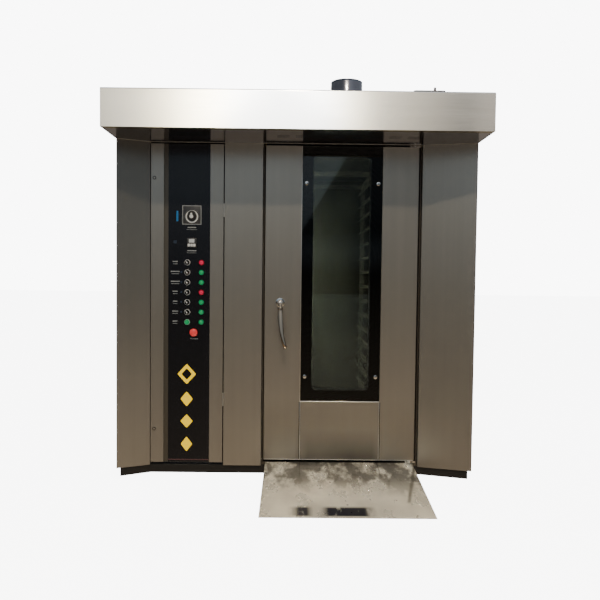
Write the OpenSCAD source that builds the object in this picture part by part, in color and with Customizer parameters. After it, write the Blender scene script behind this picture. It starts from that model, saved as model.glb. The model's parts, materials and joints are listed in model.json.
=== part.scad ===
// Rotary rack oven: an insulated steel cabinet with a glazed door, a turntable that carries a
// tray rack, a steam hood over the front, a control door over a service bay and an entry ramp.
// Millimetres, +Z up. The front faces -Y. Every module is drawn with y = 0 on the front plane,
// and placed() then moves it so that the origin lies under the middle of the whole plan.

/* [Body] */
// Overall width
body_w = 1800; // [1760:10:2000]
// Height from the floor to the top of the hood
body_h = 1875; // [1850:5:2050]
// Depth from the front plane to the back
body_d = 1450; // [1400:10:1700]
// Thickness of the outer sheets
skin_t = 2; // [1.5:0.5:3]
// Width of the folded edges of the outer panels
edge_w = 25; // [15:1:35]
// Gap between two outer panels of one side
seam = 2; // [1:0.5:4]
// How far the two outer front columns lean forward at their outer edges
flare_d = 72; // [50:1:90]
// Length of the columns' return along the body side
corner_w = 42; // [30:1:45]
// Width of the left front column
left_column_w = 154; // [130:1:180]
// Width of the fixed panel between the two doors
centre_w = 196; // [170:1:230]
// Width of the right front column
right_column_w = 263; // [240:1:290]
// Depth of the folded returns beside the doors
return_d = 40; // [36:1:55]
// Height of the plinth
plinth_h = 45; // [42:1:60]
// How far the plinth stands back from the sheets
plinth_set = 16; // [8:1:24]
// Width of the plinth channel
channel_w = 60; // [50:1:80]
// Thickness of the plinth channel
channel_t = 4; // [3:0.5:6]
// Height of the floor bearers
bearer_h = 15; // [12:1:18]

/* [Hood] */
// Height of the hood
hood_h = 178; // [150:1:200]
// Reach of the hood in front of the front plane
hood_reach = 340; // [300:5:380]
// Width of the lip along the hood's lower edge
lip_w = 40; // [12:1:50]
// Length of an intake slot in the soffit
intake_l = 60; // [40:5:70]
// Width of an intake slot in the soffit
intake_w = 6; // [4:0.5:8]
// Distance of the exhaust spigot in front of the front plane
spigot_out = 190; // [150:5:220]
// Outer diameter of the exhaust spigot
spigot_d = 150; // [120:1:180]
// Height of the exhaust spigot above the hood
spigot_rise = 75; // [60:1:140]
// Distance from the hood fan to the right side of the body
hood_fan_in = 283; // [220:1:300]
// Width of the hood fan's mounting plate
hood_motor_w = 150; // [140:1:180]
// Height of the hood fan's motor above the hood
hood_motor_rise = 30; // [24:1:60]
// Diameter of the hood fan wheel
hood_wheel_d = 150; // [120:1:180]

/* [Oven door] */
// Thickness of the oven door
door_t = 75; // [70:1:85]
// Height of the door's lower edge above the floor
door_z0 = 77; // [75:1:85]
// Gap between the door and the hood
head_gap = 10; // [8:1:14]
// Gap beside the door on its handle side
latch_gap = 14; // [12:1:18]
// Gap beside the door on its pivot side
pivot_gap = 19; // [17:1:24]
// Distance of the pivots from the door's edge and from its face
pivot_in = 20; // [18:1:22]
// Diameter of the pivot pins
pivot_d = 16; // [12:1:18]
// Width of the steel face on the handle side
left_stile_w = 186; // [180:1:195]
// Width of the steel face on the pivot side
right_stile_w = 183; // [170:1:190]
// Height of the steel face under the glass
foot_panel_h = 306; // [260:1:340]
// Thickness of the outer glass
outer_glass_t = 6; // [5:0.5:7]
// Depth of the outer glass behind the steel faces
glass_sink = 3; // [2:0.5:4]
// Width of the window's left, right, lower and upper borders
window_edge = 56; // [45:1:70]
// Corner radius of the window
window_r = 25; // [15:1:35]
// Thickness of the inner glass
inner_glass_t = 4; // [3:0.5:5]
// Diameter of the glass studs
stud_d = 20; // [16:1:24]
// Distance of the glass studs from the sides of the glass
stud_in = 22; // [18:1:28]
// Distance of the upper studs from the top of the door
stud_drop = 187; // [150:1:220]
// Distance of the lower studs from the foot of the glass
stud_foot = 127; // [100:1:150]
// Width of the door gasket
gasket_w = 12; // [9:1:14]
// Depth of the door gasket
gasket_t = 9.7; // [8:0.1:12]

/* [Handle] */
// Height of the handle's spindle
spindle_z = 890; // [850:5:950]
// Distance of the spindle from the door's edge
spindle_in = 79; // [76:1:84]
// Diameter of the spindle
spindle_d = 14; // [12:1:16]
// Diameter of the handle's hub
hub_d = 30; // [26:1:34]
// Diameter of the rose on the door
rose_d = 48; // [40:1:60]
// Thickness of the rose
rose_t = 5; // [3:0.5:8]
// Clear distance between the lever and the door
finger_gap = 34; // [30:1:45]
// Length of the lever
lever_l = 218; // [190:2:260]
// Thickness of the lever at its hub
lever_t = 20; // [16:1:22]
// How much further the lever's tip stands from the door than its root
lever_lean = 38; // [0:1:50]
// Length of the latch cam
cam_l = 32; // [29:0.5:33]
// Thickness of the latch cam
cam_t = 8; // [6:0.5:9]

/* [Control door] */
// Width of the opening for the control door
service_w = 376; // [366:1:400]
// Height of the control door's lower edge above the floor
service_z0 = 60; // [52:1:70]
// Thickness of the control door
service_t = 25; // [20:1:30]
// Gap round the control door
service_gap = 3; // [2.5:0.5:5]
// Width of the steel strip on the lock side
lock_strip_w = 66; // [58:1:72]
// Width of the sunk band beside the control panel
sunk_band_w = 23; // [18:1:28]
// Width of the control panel
panel_w = 212; // [200:1:225]
// Thickness of the control panel
panel_t = 4; // [3:0.5:5]
// Depth of the control panel's face behind the strips
panel_sink = 2; // [1:0.5:3]
// Spacing of the device rows
row_pitch = 50.8; // [46:0.2:55]
// Number of rotary selectors
selectors = 6; // [6:1:6]
// Height of the lowest device row
row_z0 = 785; // [770:1:800]
// Distance of the selectors from the panel's left side
selector_in = 97; // [90:1:104]
// Distance of the lamps from the panel's left side
lamp_in = 169; // [160:1:180]
// Diameter of the selectors' and the button's bezels
bezel_d = 30; // [28:1:34]
// Diameter of the lamps' bezels
lamp_bezel_d = 28; // [26:1:32]
// Diameter of the lamps' lenses
lens_d = 22; // [18:1:24]
// Diameter of the stems that turn or slide in the bezels
stem_d = 16; // [12:1:18]
// Diameter of the emergency stop's head
estop_d = 40; // [36:1:44]
// Distance of the emergency stop under the lowest row
estop_drop = 52; // [46:1:60]
// Side of the thermostat's square plate
dial_plate_w = 98; // [90:1:104]
// Height of the thermostat's centre
dial_z = 1331; // [1310:1:1350]
// Diameter of the thermostat's knob
dial_d = 44; // [38:1:50]
// Side of the time relay's frame
relay_w = 48; // [45:1:55]
// Depth of the time relay behind the panel
relay_d = 96; // [70:1:100]
// Height of the time relay's centre
relay_z = 1190; // [1170:1:1210]
// Height of a hinge of the control door
hinge_h = 68; // [60:1:80]
// Height of the lower hinge's centre
low_hinge_z = 388; // [350:1:430]
// Distance of the upper hinge's centre from the top of the control door
high_hinge_drop = 333; // [290:1:370]
// Distance of the two locks from the ends of the control door
lock_in = 173; // [150:1:200]
// Diameter of the control door's hinge knuckles
knuckle_d = 9; // [8:0.5:9]

/* [Chamber] */
// How far the baking chamber reaches past the oven door on each side
chamber_over = 71; // [60:1:90]
// Thickness of the insulated side and back walls
wall_t = 116; // [100:1:130]
// Thickness of the insulated ceiling
ceiling_t = 175; // [170:1:190]
// Thickness of the chamber's sheets
liner_t = 2; // [1.5:0.5:3]
// Height of the chamber's floor
floor_z = 62; // [61:1:66]
// How far the oven door laps over the doorway on each side
doorway_lap = 42; // [41:1:48]
// Distance of the doorway's head below the top of the oven door
doorway_drop = 37; // [33:1:48]
// Depth of the door frame behind the door
frame_d = 50; // [40:1:60]
// Depth of the service bay
bay_d = 290; // [280:5:300]
// Thickness of the insulation behind the service bay
bay_wall = 40; // [30:1:60]
// Rows of air slots
slot_rows = 14; // [8:1:16]
// Columns of air slots
slot_columns = 3; // [2:1:4]
// Length of an air slot
slot_l = 230; // [160:10:240]
// Height of an air slot
slot_h = 14; // [10:1:18]
// Depth of the vane over a supply slot
vane_d = 12; // [8:1:15]
// Number of heater loops above one another
heater_rows = 8; // [4:1:9]
// Diameter of a heater tube
heater_d = 16; // [12:1:18]
// Spacing of the two legs of a heater loop
heater_leg = 50; // [44:1:54]
// Length of a heater loop
heater_l = 620; // [500:10:700]
// Diameter of the circulation fan
fan_d = 400; // [340:10:460]
// Height of the circulation fan
fan_h = 120; // [100:5:140]
// Number of fan blades
fan_blades = 9; // [6:1:12]
// Diameter of the circulation motor
motor_d = 164; // [150:1:180]
// Height of the circulation motor above the roof
motor_rise = 55; // [40:1:70]

/* [Turntable and rack] */
// Distance of the turntable's centre from the chamber's back wall
turn_back = 534; // [500:2:560]
// Gap between the turntable and the chamber's side walls
turn_edge = 30; // [20:1:35]
// Thickness of the turntable with its ribs
turn_t = 11.7; // [10:0.1:12]
// Diameter of the turntable's shaft
shaft_d = 40; // [30:1:50]
// Clear distance between the walls of two facing tray runners
tray_w = 405; // [400:1:420]
// Length of the rack
rack_l = 600; // [580:5:620]
// Least gap between the rack's top and the head of the doorway
rack_room = 10; // [6:1:90]
// Spacing of the tray levels
tier_pitch = 88; // [80:1:88]
// Height of the lowest tray level above the floor of the chamber
first_tier = 189; // [180:1:192]
// Side of the rack's square tubes
tube_w = 25; // [20:1:30]
// Width of a tray runner's ledge
ledge_w = 18; // [12:1:24]
// Thickness of a tray runner
runner_t = 1.5; // [1:0.5:2.5]
// Diameter of a caster wheel
wheel_d = 100; // [90:1:102]
// Width of a caster wheel
wheel_w = 28; // [22:1:30]
// Distance of a swivel caster's axle behind its king pin
trail = 28; // [22:1:32]
// Diameter of a caster axle
axle_d = 10; // [8:1:12]

/* [Ramp] */
// Length of the ramp in front of the front plane
ramp_l = 600; // [500:10:700]
// Thickness of the ramp's sheet
ramp_t = 3; // [2:0.5:4]
// Distance of the ramp's left edge from the door's left edge
ramp_in = 8; // [0:1:20]
// Distance of the ramp's right edge from the door's right edge
ramp_out = 6; // [0:1:20]

/* [Hidden] */
$fn = 64;

// Clearances: a running fit, the gap under a piece that is set down, the gap between two moving
// parts, and a loose hole
fit = 0.05;
seat = 0.1;
gap = 0.3;
loose = 0.5;

// Finishes
steel = [0.56, 0.54, 0.50];
bright = [0.78, 0.77, 0.73];
dark = [0.11, 0.11, 0.12];
chrome = [0.85, 0.86, 0.87];
wool = [0.80, 0.74, 0.55];

// Plan: x from left to right across the front
half_w = body_w / 2;
front_y = (ramp_l - body_d) / 2;
service_x0 = left_column_w - half_w;
service_x1 = service_x0 + service_w;
centre_x1 = service_x1 + centre_w;
door_x0 = centre_x1 + latch_gap;
right_x0 = half_w - right_column_w;
door_x1 = right_x0 - pivot_gap;
door_cx = (door_x0 + door_x1) / 2;

// Heights
soffit_z = body_h - hood_h;
door_z1 = soffit_z - head_gap;
roof_z = body_h - skin_t;
liner_z1 = body_h - ceiling_t;
doorway_z1 = door_z1 - doorway_drop;
doorway_x0 = door_x0 + doorway_lap;
doorway_x1 = door_x1 - doorway_lap;

// Depths
frame_y0 = door_t + gasket_t + gap;
frame_y1 = frame_y0 + frame_d;
heater_y0 = bay_d + bay_wall;
liner_y1 = body_d - wall_t;
liner_x0 = wall_t - half_w;
liner_x1 = half_w - wall_t;
chamber_x0 = door_x0 - chamber_over;
chamber_x1 = door_x1 + chamber_over;
turn_y = liner_y1 - turn_back;
turn_r = (chamber_x1 - chamber_x0) / 2 - turn_edge;

// Moves a piece from the front plane's frame to the frame of the whole
module placed() {
    translate([0, front_y, 0]) children();
}

// A block between two opposite corners
module slab(a, b) {
    translate(a) cube(b - a);
}

// A rod along Y, from y0 to y1
module rod_y(x, z, y0, y1, r) {
    translate([x, y0, z]) rotate([-90, 0, 0]) cylinder(h = y1 - y0, r = r);
}

// A rod along Z, from z0 to z1
module rod_z(x, y, z0, z1, r) {
    translate([x, y, z0]) cylinder(h = z1 - z0, r = r);
}

// Extrudes an outline drawn in the YZ plane from x0 to x1
module extrude_x(x0, x1) {
    translate([x0, 0, 0]) rotate([90, 0, 90]) linear_extrude(x1 - x0) children();
}

// Extrudes an outline drawn in the XZ plane from y0 to y1
module extrude_y(y0, y1) {
    translate([0, y1, 0]) rotate([90, 0, 0]) linear_extrude(y1 - y0) children();
}

// A rectangle between two corners with round corners
module round_rect(a, b, r) {
    translate([a.x + r, a.y]) square([b.x - a.x - 2 * r, b.y - a.y]);
    translate([a.x, a.y + r]) square([b.x - a.x, b.y - a.y - 2 * r]);
    for (x = [a.x + r, b.x - r], y = [a.y + r, b.y - r]) translate([x, y]) circle(r);
}

// The outline of a bent sheet that follows a path, with its thickness on the path's left
function unit(v) = v / norm(v);
function left_of(a, b) = let (d = unit(b - a)) [-d.y, d.x];
function sheet_corner(path, i, t) =
    let (last = len(path) - 1,
         before = left_of(path[max(i - 1, 0)], path[max(i, 1)]),
         after = left_of(path[min(i, last - 1)], path[min(i + 1, last)]))
    path[i] + (before + after) * t / (1 + before * after);
function bent_sheet(path, t) =
    concat(path, [for (i = [len(path) - 1 : -1 : 0]) sheet_corner(path, i, t)]);

// The cabinet's plan, drawn in by an inset
function body_plan(inset) = [
    [inset - half_w, inset - flare_d], [service_x0, inset], [right_x0, inset],
    [half_w - inset, inset - flare_d], [half_w - inset, body_d - inset],
    [inset - half_w, body_d - inset]];

// Base
drive_x = service_x0 + 2 * service_w / 3;
drive_y = 170;
case_r = 55;
case_z0 = 6;
bearer_z0 = plinth_h - bearer_h;
case_z1 = bearer_z0 - skin_t;
hub_r = 60;
floor_pan_t = 2;
bearer_w = 40;
hub_bearer_y = 45;

module base_frame() {
    color(dark) placed() {
        difference() {
            linear_extrude(plinth_h) difference() {
                polygon(body_plan(plinth_set));
                polygon(body_plan(plinth_set + channel_w));
            }
            translate([0, 0, channel_t]) linear_extrude(plinth_h - 2 * channel_t) difference() {
                polygon(body_plan(plinth_set + channel_t));
                polygon(body_plan(plinth_set + channel_w + 1));
            }
        }
        reach = half_w - plinth_set - channel_t;
        for (y = [heater_y0, turn_y - hub_bearer_y, turn_y + hub_bearer_y, liner_y1 - bearer_w])
            slab([-reach, y - bearer_w / 2, bearer_z0], [reach, y + bearer_w / 2, plinth_h]);
    }
}

// The plan of the chamber, the heater space and the return duct, drawn in by an inset
function liner_plan(inset) = [
    [liner_x0 + inset, heater_y0 + inset], [chamber_x0 - liner_t + inset, heater_y0 + inset],
    [chamber_x0 - liner_t + inset, frame_y1 + inset], [liner_x1 - inset, frame_y1 + inset],
    [liner_x1 - inset, liner_y1 - inset], [liner_x0 + inset, liner_y1 - inset]];

turn_gap = 4;

module chamber_floor() {
    color(steel) placed() difference() {
        translate([0, 0, plinth_h]) linear_extrude(floor_z - plinth_h) polygon(liner_plan(0));
        rod_z(door_cx, turn_y, plinth_h + floor_pan_t, floor_z + 1, turn_r + turn_gap);
        rod_z(door_cx, turn_y, plinth_h - 1, floor_z, hub_r + loose);
    }
}

// Outer panels: two sheets on each side, with folded edges at the top and at the foot
module folded_panel(y0, y1) {
    slab([-half_w, y0, plinth_h], [skin_t - half_w, y1, roof_z]);
    for (z = [plinth_h, roof_z - skin_t])
        slab([-half_w, y0, z], [edge_w - half_w, y1 - skin_t, z + skin_t]);
}

module side_panel() {
    side_y0 = corner_w - flare_d;
    middle_y = (side_y0 + body_d) / 2;
    folded_panel(side_y0, middle_y - seam / 2);
    folded_panel(middle_y + seam / 2, body_d);
}

module left_side_panel() {
    color(steel) placed() side_panel();
}

module right_side_panel() {
    color(steel) placed() mirror([1, 0, 0]) side_panel();
}

back_sheets = 3;

module back_panel() {
    sheet_w = (body_w - 2 * skin_t) / back_sheets;
    fold_reach = half_w - edge_w;
    color(steel) placed() for (i = [0 : back_sheets - 1]) {
        x0 = skin_t - half_w + i * sheet_w;
        x1 = x0 + sheet_w - (i < back_sheets - 1 ? seam : 0);
        slab([x0, body_d - skin_t, plinth_h], [x1, body_d, roof_z]);
        for (z = [plinth_h, roof_z - skin_t])
            slab([max(x0, -fold_reach), body_d - edge_w, z], [min(x1, fold_reach), body_d, z + skin_t]);
    }
}

// Circulation fan's place over the heater space
fan_x = (liner_x0 + chamber_x0) / 2;
fan_y = (heater_y0 + liner_y1) / 2;
gland_x = liner_x0;
gland_y = body_d - 2 * wall_t;
gland_d = 40;
gland_bore = 26;
gland_h = 30;
gland_hole_r = gland_bore / 2 + 3;
nut_r = 24;

module roof_panel() {
    color(steel) placed() {
        difference() {
            slab([-half_w, 0, roof_z], [half_w, body_d, body_h]);
            rod_z(fan_x, fan_y, roof_z - 1, body_h + 1, motor_d / 2 + skin_t);
            rod_z(gland_x, gland_y, roof_z - 1, body_h + 1, gland_hole_r);
        }
        difference() {
            union() {
                rod_z(gland_x, gland_y, body_h + seat, body_h + gland_h, gland_d / 2);
                rod_z(gland_x, gland_y, body_h + seat, body_h + gland_h / 3, nut_r, $fn = 6);
            }
            rod_z(gland_x, gland_y, body_h, body_h + gland_h + 1, gland_bore / 2);
        }
    }
}

// Front: two columns that lean forward, the panel between the doors and the wall over them
module upright_sheet(path) {
    translate([0, 0, plinth_h]) linear_extrude(soffit_z - plinth_h) polygon(bent_sheet(path, skin_t));
}

module left_front_column() {
    color(steel) placed() upright_sheet([
        [-half_w, corner_w - flare_d], [-half_w, -flare_d], [service_x0, 0],
        [service_x0, return_d]]);
}

module right_front_column() {
    color(steel) placed() upright_sheet([
        [right_x0, return_d], [right_x0, 0], [half_w, -flare_d], [half_w, corner_w - flare_d]]);
}

// Hinges of the control door, with the pin in the outer knuckles
hinge_x = service_x1 - service_gap / 2;
hinge_y = -knuckle_d / 2 - loose;
hinge_leaf_w = 22;
hinge_leaf_t = 2;
hinge_pin_r = 2;
service_z1 = door_z1 + service_gap;
hinge_zs = [low_hinge_z, service_z1 - high_hinge_drop];

// One hinge leaf over the whole height of a hinge: the plate lies between two x values, and
// each knuckle fills one span of heights
module hinge_leaf(z, plate, knuckles) {
    slab([plate[0], -hinge_leaf_t, z - hinge_h / 2], [plate[1], 0, z + hinge_h / 2]);
    for (k = knuckles) {
        rod_z(hinge_x, hinge_y, k[0], k[1], knuckle_d / 2);
        slab([min(hinge_x, plate[0]), -hinge_leaf_t, k[0]], [max(hinge_x, plate[1]), 0, k[1]]);
    }
}

module front_centre_panel() {
    color(steel) placed() {
        upright_sheet([[service_x1, return_d], [service_x1, 0], [centre_x1, 0],
                       [centre_x1, return_d]]);
        for (z = hinge_zs) {
            hinge_leaf(z, [hinge_x + knuckle_d / 2 + gap, service_x1 + hinge_leaf_w],
                       [[z - hinge_h / 2, z - hinge_h / 6], [z + hinge_h / 6, z + hinge_h / 2]]);
            rod_z(hinge_x, hinge_y, z - hinge_h / 2, z + hinge_h / 2, hinge_pin_r);
        }
    }
}

// The wall over the front, behind the hood, on the line of the columns and the centre panel
function flare_y(x) = x < service_x0 ? -flare_d * (service_x0 - x) / left_column_w
                    : -flare_d * (x - right_x0) / (half_w - right_x0);
line_end = half_w - 2 * skin_t;
front_line = [[-line_end, flare_y(-line_end)], [service_x0, 0], [right_x0, 0],
              [line_end, flare_y(line_end)]];

module front_header() {
    color(steel) placed() translate([0, 0, soffit_z]) linear_extrude(roof_z - soffit_z)
        polygon(bent_sheet(front_line, skin_t));
}

// The frame of the doorway, with its sill and the two strips that show in the gaps
strip_w = 5;
strip_in = 3;

module door_frame() {
    color(bright) placed() {
        slab([centre_x1, plinth_set, plinth_h], [right_x0, frame_y1, floor_z]);
        difference() {
            slab([centre_x1, frame_y0, floor_z], [right_x0, frame_y1, soffit_z]);
            slab([doorway_x0, frame_y0 - 1, floor_z - 1], [doorway_x1, frame_y1 + 1, doorway_z1]);
        }
        for (x = [centre_x1 + strip_in, right_x0 - strip_in - strip_w])
            slab([x, plinth_set, floor_z], [x + strip_w, frame_y0, soffit_z]);
    }
}

// Hood
spigot_x = door_cx;
hood_fan_x = half_w - hood_fan_in;
spigot_wall = 2;
hood_can_r = 55;

module hood_shell() {
    color(bright) placed() difference() {
        union() {
            extrude_x(-half_w, half_w) polygon(bent_sheet([
                [lip_w - hood_reach, soffit_z], [-hood_reach, soffit_z], [-hood_reach, body_h],
                [0, body_h]], -skin_t));
            for (x = [-half_w, half_w - skin_t])
                slab([x, -hood_reach, soffit_z], [x + skin_t, corner_w - flare_d, body_h]);
        }
        rod_z(spigot_x, -spigot_out, roof_z - 1, body_h + 1, spigot_d / 2 - spigot_wall);
        rod_z(hood_fan_x, -spigot_out, roof_z - 1, body_h + 1, hood_can_r + loose);
    }
}

intake_rows = 3;
intake_step = 22;
soffit_t = 2;
soffit_z0 = soffit_z + skin_t;

module hood_soffit() {
    first_x = door_x0 + intake_l;
    color(bright) placed() difference() {
        translate([0, 0, soffit_z0]) linear_extrude(soffit_t)
            polygon(concat([[half_w - skin_t, skin_t - hood_reach],
                            [skin_t - half_w, skin_t - hood_reach]], front_line));
        for (x = [first_x : intake_l * 1.5 : door_x1 - intake_l], row = [0 : intake_rows - 1])
            translate([0, 0, soffit_z0 - 1]) linear_extrude(soffit_t + 2)
                round_rect([x, row * intake_step - spigot_out],
                           [x + intake_l, row * intake_step - spigot_out + intake_w],
                           intake_w / 2 - fit);
    }
}

module exhaust_spigot() {
    color(dark) placed() difference() {
        union() {
            rod_z(spigot_x, -spigot_out, body_h, body_h + spigot_rise, spigot_d / 2);
            rod_z(spigot_x, -spigot_out, body_h, body_h + skin_t, spigot_d / 2 + edge_w);
        }
        rod_z(spigot_x, -spigot_out, body_h - 1, body_h + spigot_rise + 1,
              spigot_d / 2 - spigot_wall);
    }
}

hood_shaft_r = 6;
hood_wheel_h = 50;
hood_wheel_z = soffit_z + 40;
hood_blades = 10;
hood_hub_r = 16;
motor_stand = 10;
motor_corner = 12;
nub_r = 6;
nub_h = 28;
nub_part = 0.23;

module hood_fan_motor() {
    motor_z1 = body_h + hood_motor_rise;
    color(steel) placed() difference() {
        union() {
            translate([hood_fan_x - hood_motor_w / 2, -spigot_out - hood_motor_w / 2, body_h])
                cube([hood_motor_w, hood_motor_w, 2 * skin_t]);
            rod_z(hood_fan_x, -spigot_out, hood_wheel_z + hood_wheel_h + motor_stand, motor_z1,
                  hood_can_r);
            translate([0, 0, body_h]) linear_extrude(hood_motor_rise) round_rect(
                [hood_fan_x - hood_motor_w / 2, -spigot_out - hood_can_r],
                [hood_fan_x + hood_motor_w / 2, hood_can_r - spigot_out], motor_corner);
            rod_z(hood_fan_x + nub_part * hood_motor_w, -spigot_out, body_h, motor_z1 + nub_h, nub_r);
        }
        rod_z(hood_fan_x, -spigot_out, hood_wheel_z, body_h + hood_motor_rise / 2,
              hood_shaft_r + fit);
    }
}

// One curved fan blade's outline, from the inner to the outer radius, leaning backwards
blade_steps = 6;
blade_sweep = 42;
blade_root = 0.62;
blade_t = 2;
inlet = 0.6;
function blade_point(r0, r1, s, side, t) =
    let (r = r0 + (r1 - r0) * s, a = blade_sweep * s * s, off = side * t / 2)
    [r * cos(a) - off * sin(a), r * sin(a) + off * cos(a)];
function blade_outline(r0, r1, t) = concat(
    [for (i = [0 : blade_steps]) blade_point(r0, r1, i / blade_steps, -1, t)],
    [for (i = [blade_steps : -1 : 0]) blade_point(r0, r1, i / blade_steps, 1, t)]);

// A centrifugal wheel: back plate on top, curved blades, a shroud ring below and its hub
module fan_wheel(r, h, blades, plate_t, hub_r) {
    translate([0, 0, h - plate_t]) cylinder(h = plate_t, r = r);
    difference() {
        cylinder(h = plate_t, r = r);
        translate([0, 0, -1]) cylinder(h = plate_t + 2, r = inlet * r);
    }
    for (i = [0 : blades - 1]) rotate(i * 360 / blades) translate([0, 0, plate_t / 2])
        linear_extrude(h - plate_t) polygon(blade_outline(blade_root * r, r - blade_t, blade_t));
    translate([0, 0, h / 2]) cylinder(h = h / 2, r = hub_r);
}

module hood_fan_wheel() {
    color(bright) placed() translate([hood_fan_x, -spigot_out, 0]) {
        translate([0, 0, hood_wheel_z])
            fan_wheel(hood_wheel_d / 2, hood_wheel_h, hood_blades, 1.5, hood_hub_r);
        rod_z(0, 0, hood_wheel_z + hood_wheel_h - 1, body_h, hood_shaft_r);
    }
}

// Entry ramp: a sheet with side skirts that leans on the sill and stands on the floor
ramp_z1 = floor_z - 2;
skirt_in = 14;

module entry_ramp() {
    x0 = door_x0 + ramp_in;
    x1 = door_x1 - ramp_out;
    color(bright) placed() {
        extrude_x(x0, x1) polygon(bent_sheet([
            [plinth_set, plinth_h / 2], [plinth_set, ramp_z1], [-ramp_l, ramp_t], [-ramp_l, 0]],
            ramp_t));
        for (x = [x0, (x0 + x1 - ramp_t) / 2, x1 - ramp_t]) extrude_x(x, x + ramp_t)
            polygon([[plinth_set - ramp_t, 0], [plinth_set - ramp_t, ramp_z1 - ramp_t],
                     [skirt_in - ramp_l, ramp_t / 3], [skirt_in - ramp_l, 0]]);
    }
}

// Chamber
heater_space = 50;
heater_w = 2 * (heater_leg + heater_space);
heater_rise = 318;
heater_drop = 400;
heater_z0 = floor_z + heater_rise;
heater_z1 = liner_z1 - heater_drop;
heater_block_z = [heater_z0 - heater_space, heater_z1 + heater_space];
shaft_hole_r = 40;

// The ceramic block that carries the heaters through the wall fills this window
module heater_window(y0, y1) {
    slab([fan_x - heater_w / 2, y0, heater_block_z[0]],
         [fan_x + heater_w / 2, y1, heater_block_z[1]]);
}

// The walls, from the right side of the doorway round the chamber to its left side
module chamber_liner() {
    color(steel) placed() difference() {
        translate([0, 0, floor_z]) linear_extrude(liner_z1 - liner_t - floor_z)
            polygon(bent_sheet([
                [doorway_x1, frame_y1], [liner_x1, frame_y1], [liner_x1, liner_y1],
                [liner_x0, liner_y1], [liner_x0, heater_y0], [chamber_x0 - liner_t, heater_y0],
                [chamber_x0 - liner_t, frame_y1], [doorway_x0, frame_y1]], liner_t));
        heater_window(heater_y0 - 1, heater_y0 + liner_t + 1);
    }
}

// The ceiling, folded down over the head of the doorway
module chamber_ceiling() {
    color(steel) placed() difference() {
        union() {
            translate([0, 0, liner_z1 - liner_t]) linear_extrude(liner_t) polygon(liner_plan(0));
            slab([doorway_x0, frame_y1, doorway_z1], [doorway_x1, frame_y1 + liner_t, liner_z1]);
        }
        rod_z(fan_x, fan_y, liner_z1 - liner_t - 1, liner_z1 + 1, shaft_hole_r);
    }
}

// A wall of the chamber with columns of air slots; vanes stand over the slots on request
module air_panel(x0, y0, vanes) {
    x1 = x0 + liner_t;
    column_step = (liner_y1 - liner_t - y0) / slot_columns;
    row_step = (liner_z1 - floor_z - liner_t) / slot_rows;
    slots = [for (c = [0 : slot_columns - 1], r = [0 : slot_rows - 1])
        [y0 + (c + 0.5) * column_step, floor_z + (r + 0.5) * row_step]];
    difference() {
        slab([x0, y0, floor_z], [x1, liner_y1 - liner_t, liner_z1 - liner_t]);
        for (p = slots)
            slab([x0 - 1, p[0] - slot_l / 2, p[1]], [x1 + 1, p[0] + slot_l / 2, p[1] + slot_h]);
    }
    if (vanes) for (p = slots)
        translate([0, p[0] + slot_l / 2, p[1] + slot_h]) rotate([90, 0, 0]) linear_extrude(slot_l)
            polygon([[x0, 0], [x1, 0], [x1 + vane_d, -slot_h / 2],
                     [x1 + vane_d, liner_t - slot_h / 2], [x1, liner_t], [x0, liner_t]]);
}

module air_supply_panel() {
    color(steel) placed() air_panel(chamber_x0 - liner_t, heater_y0 + liner_t, true);
}

module air_return_panel() {
    color(steel) placed() air_panel(chamber_x1, frame_y1 + liner_t, false);
}

// Heater loops lie flat, two columns of them, with their ends through the block
terminal_l = 40;
terminal_r = 3;

module heater_bank() {
    step = (heater_z1 - heater_z0) / (heater_rows - 1);
    color(dark) placed() {
        heater_window(bay_d - skin_t, heater_y0 + liner_t);
        for (i = [0 : heater_rows - 1], side = [-1, 1]) {
            z = heater_z0 + i * step;
            x = fan_x + side * heater_w / 4;
            y = heater_y0 + heater_l;
            for (leg = [-1, 1]) {
                rod_y(x + leg * heater_leg / 2, z, heater_y0, y, heater_d / 2);
                rod_y(x + leg * heater_leg / 2, z, bay_d - skin_t - terminal_l, bay_d, terminal_r);
            }
            translate([x, y, z]) rotate_extrude(angle = 180) translate([heater_leg / 2, 0])
                circle(heater_d / 2);
        }
    }
}

// Circulation fan: its motor stands on the chamber's ceiling and rises through the roof
fan_drop = 60;
fan_z0 = liner_z1 - liner_t - fan_drop - fan_h;
fan_shaft_r = 10;
fan_hub_r = 30;
shaft_short = 20;
cowl_h = 10;
motor_flange_r = 110;
motor_flange_t = 12;
fins = 24;
fin_t = 3;
fin_d = 8;

module circulation_fan_motor() {
    color(dark) placed() translate([fan_x, fan_y, 0]) difference() {
        union() {
            rod_z(0, 0, liner_z1, liner_z1 + motor_flange_t, motor_flange_r);
            rod_z(0, 0, liner_z1, body_h + motor_rise - cowl_h, motor_d / 2 - fin_d);
            rod_z(0, 0, body_h + motor_rise - cowl_h, body_h + motor_rise, motor_d / 2);
            for (i = [0 : fins - 1]) rotate(i * 360 / fins)
                slab([motor_d / 4, -fin_t / 2, liner_z1 + motor_flange_t + cowl_h],
                     [motor_d / 2 - 1, fin_t / 2, body_h + motor_rise - 1]);
        }
        rod_z(0, 0, liner_z1 - 1, roof_z, fan_shaft_r + fit);
    }
}

module circulation_fan_wheel() {
    color(steel) placed() translate([fan_x, fan_y, 0]) {
        translate([0, 0, fan_z0]) fan_wheel(fan_d / 2, fan_h, fan_blades, 3, fan_hub_r);
        rod_z(0, 0, fan_z0 + fan_h - 1, roof_z - shaft_short, fan_shaft_r);
    }
}

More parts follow.
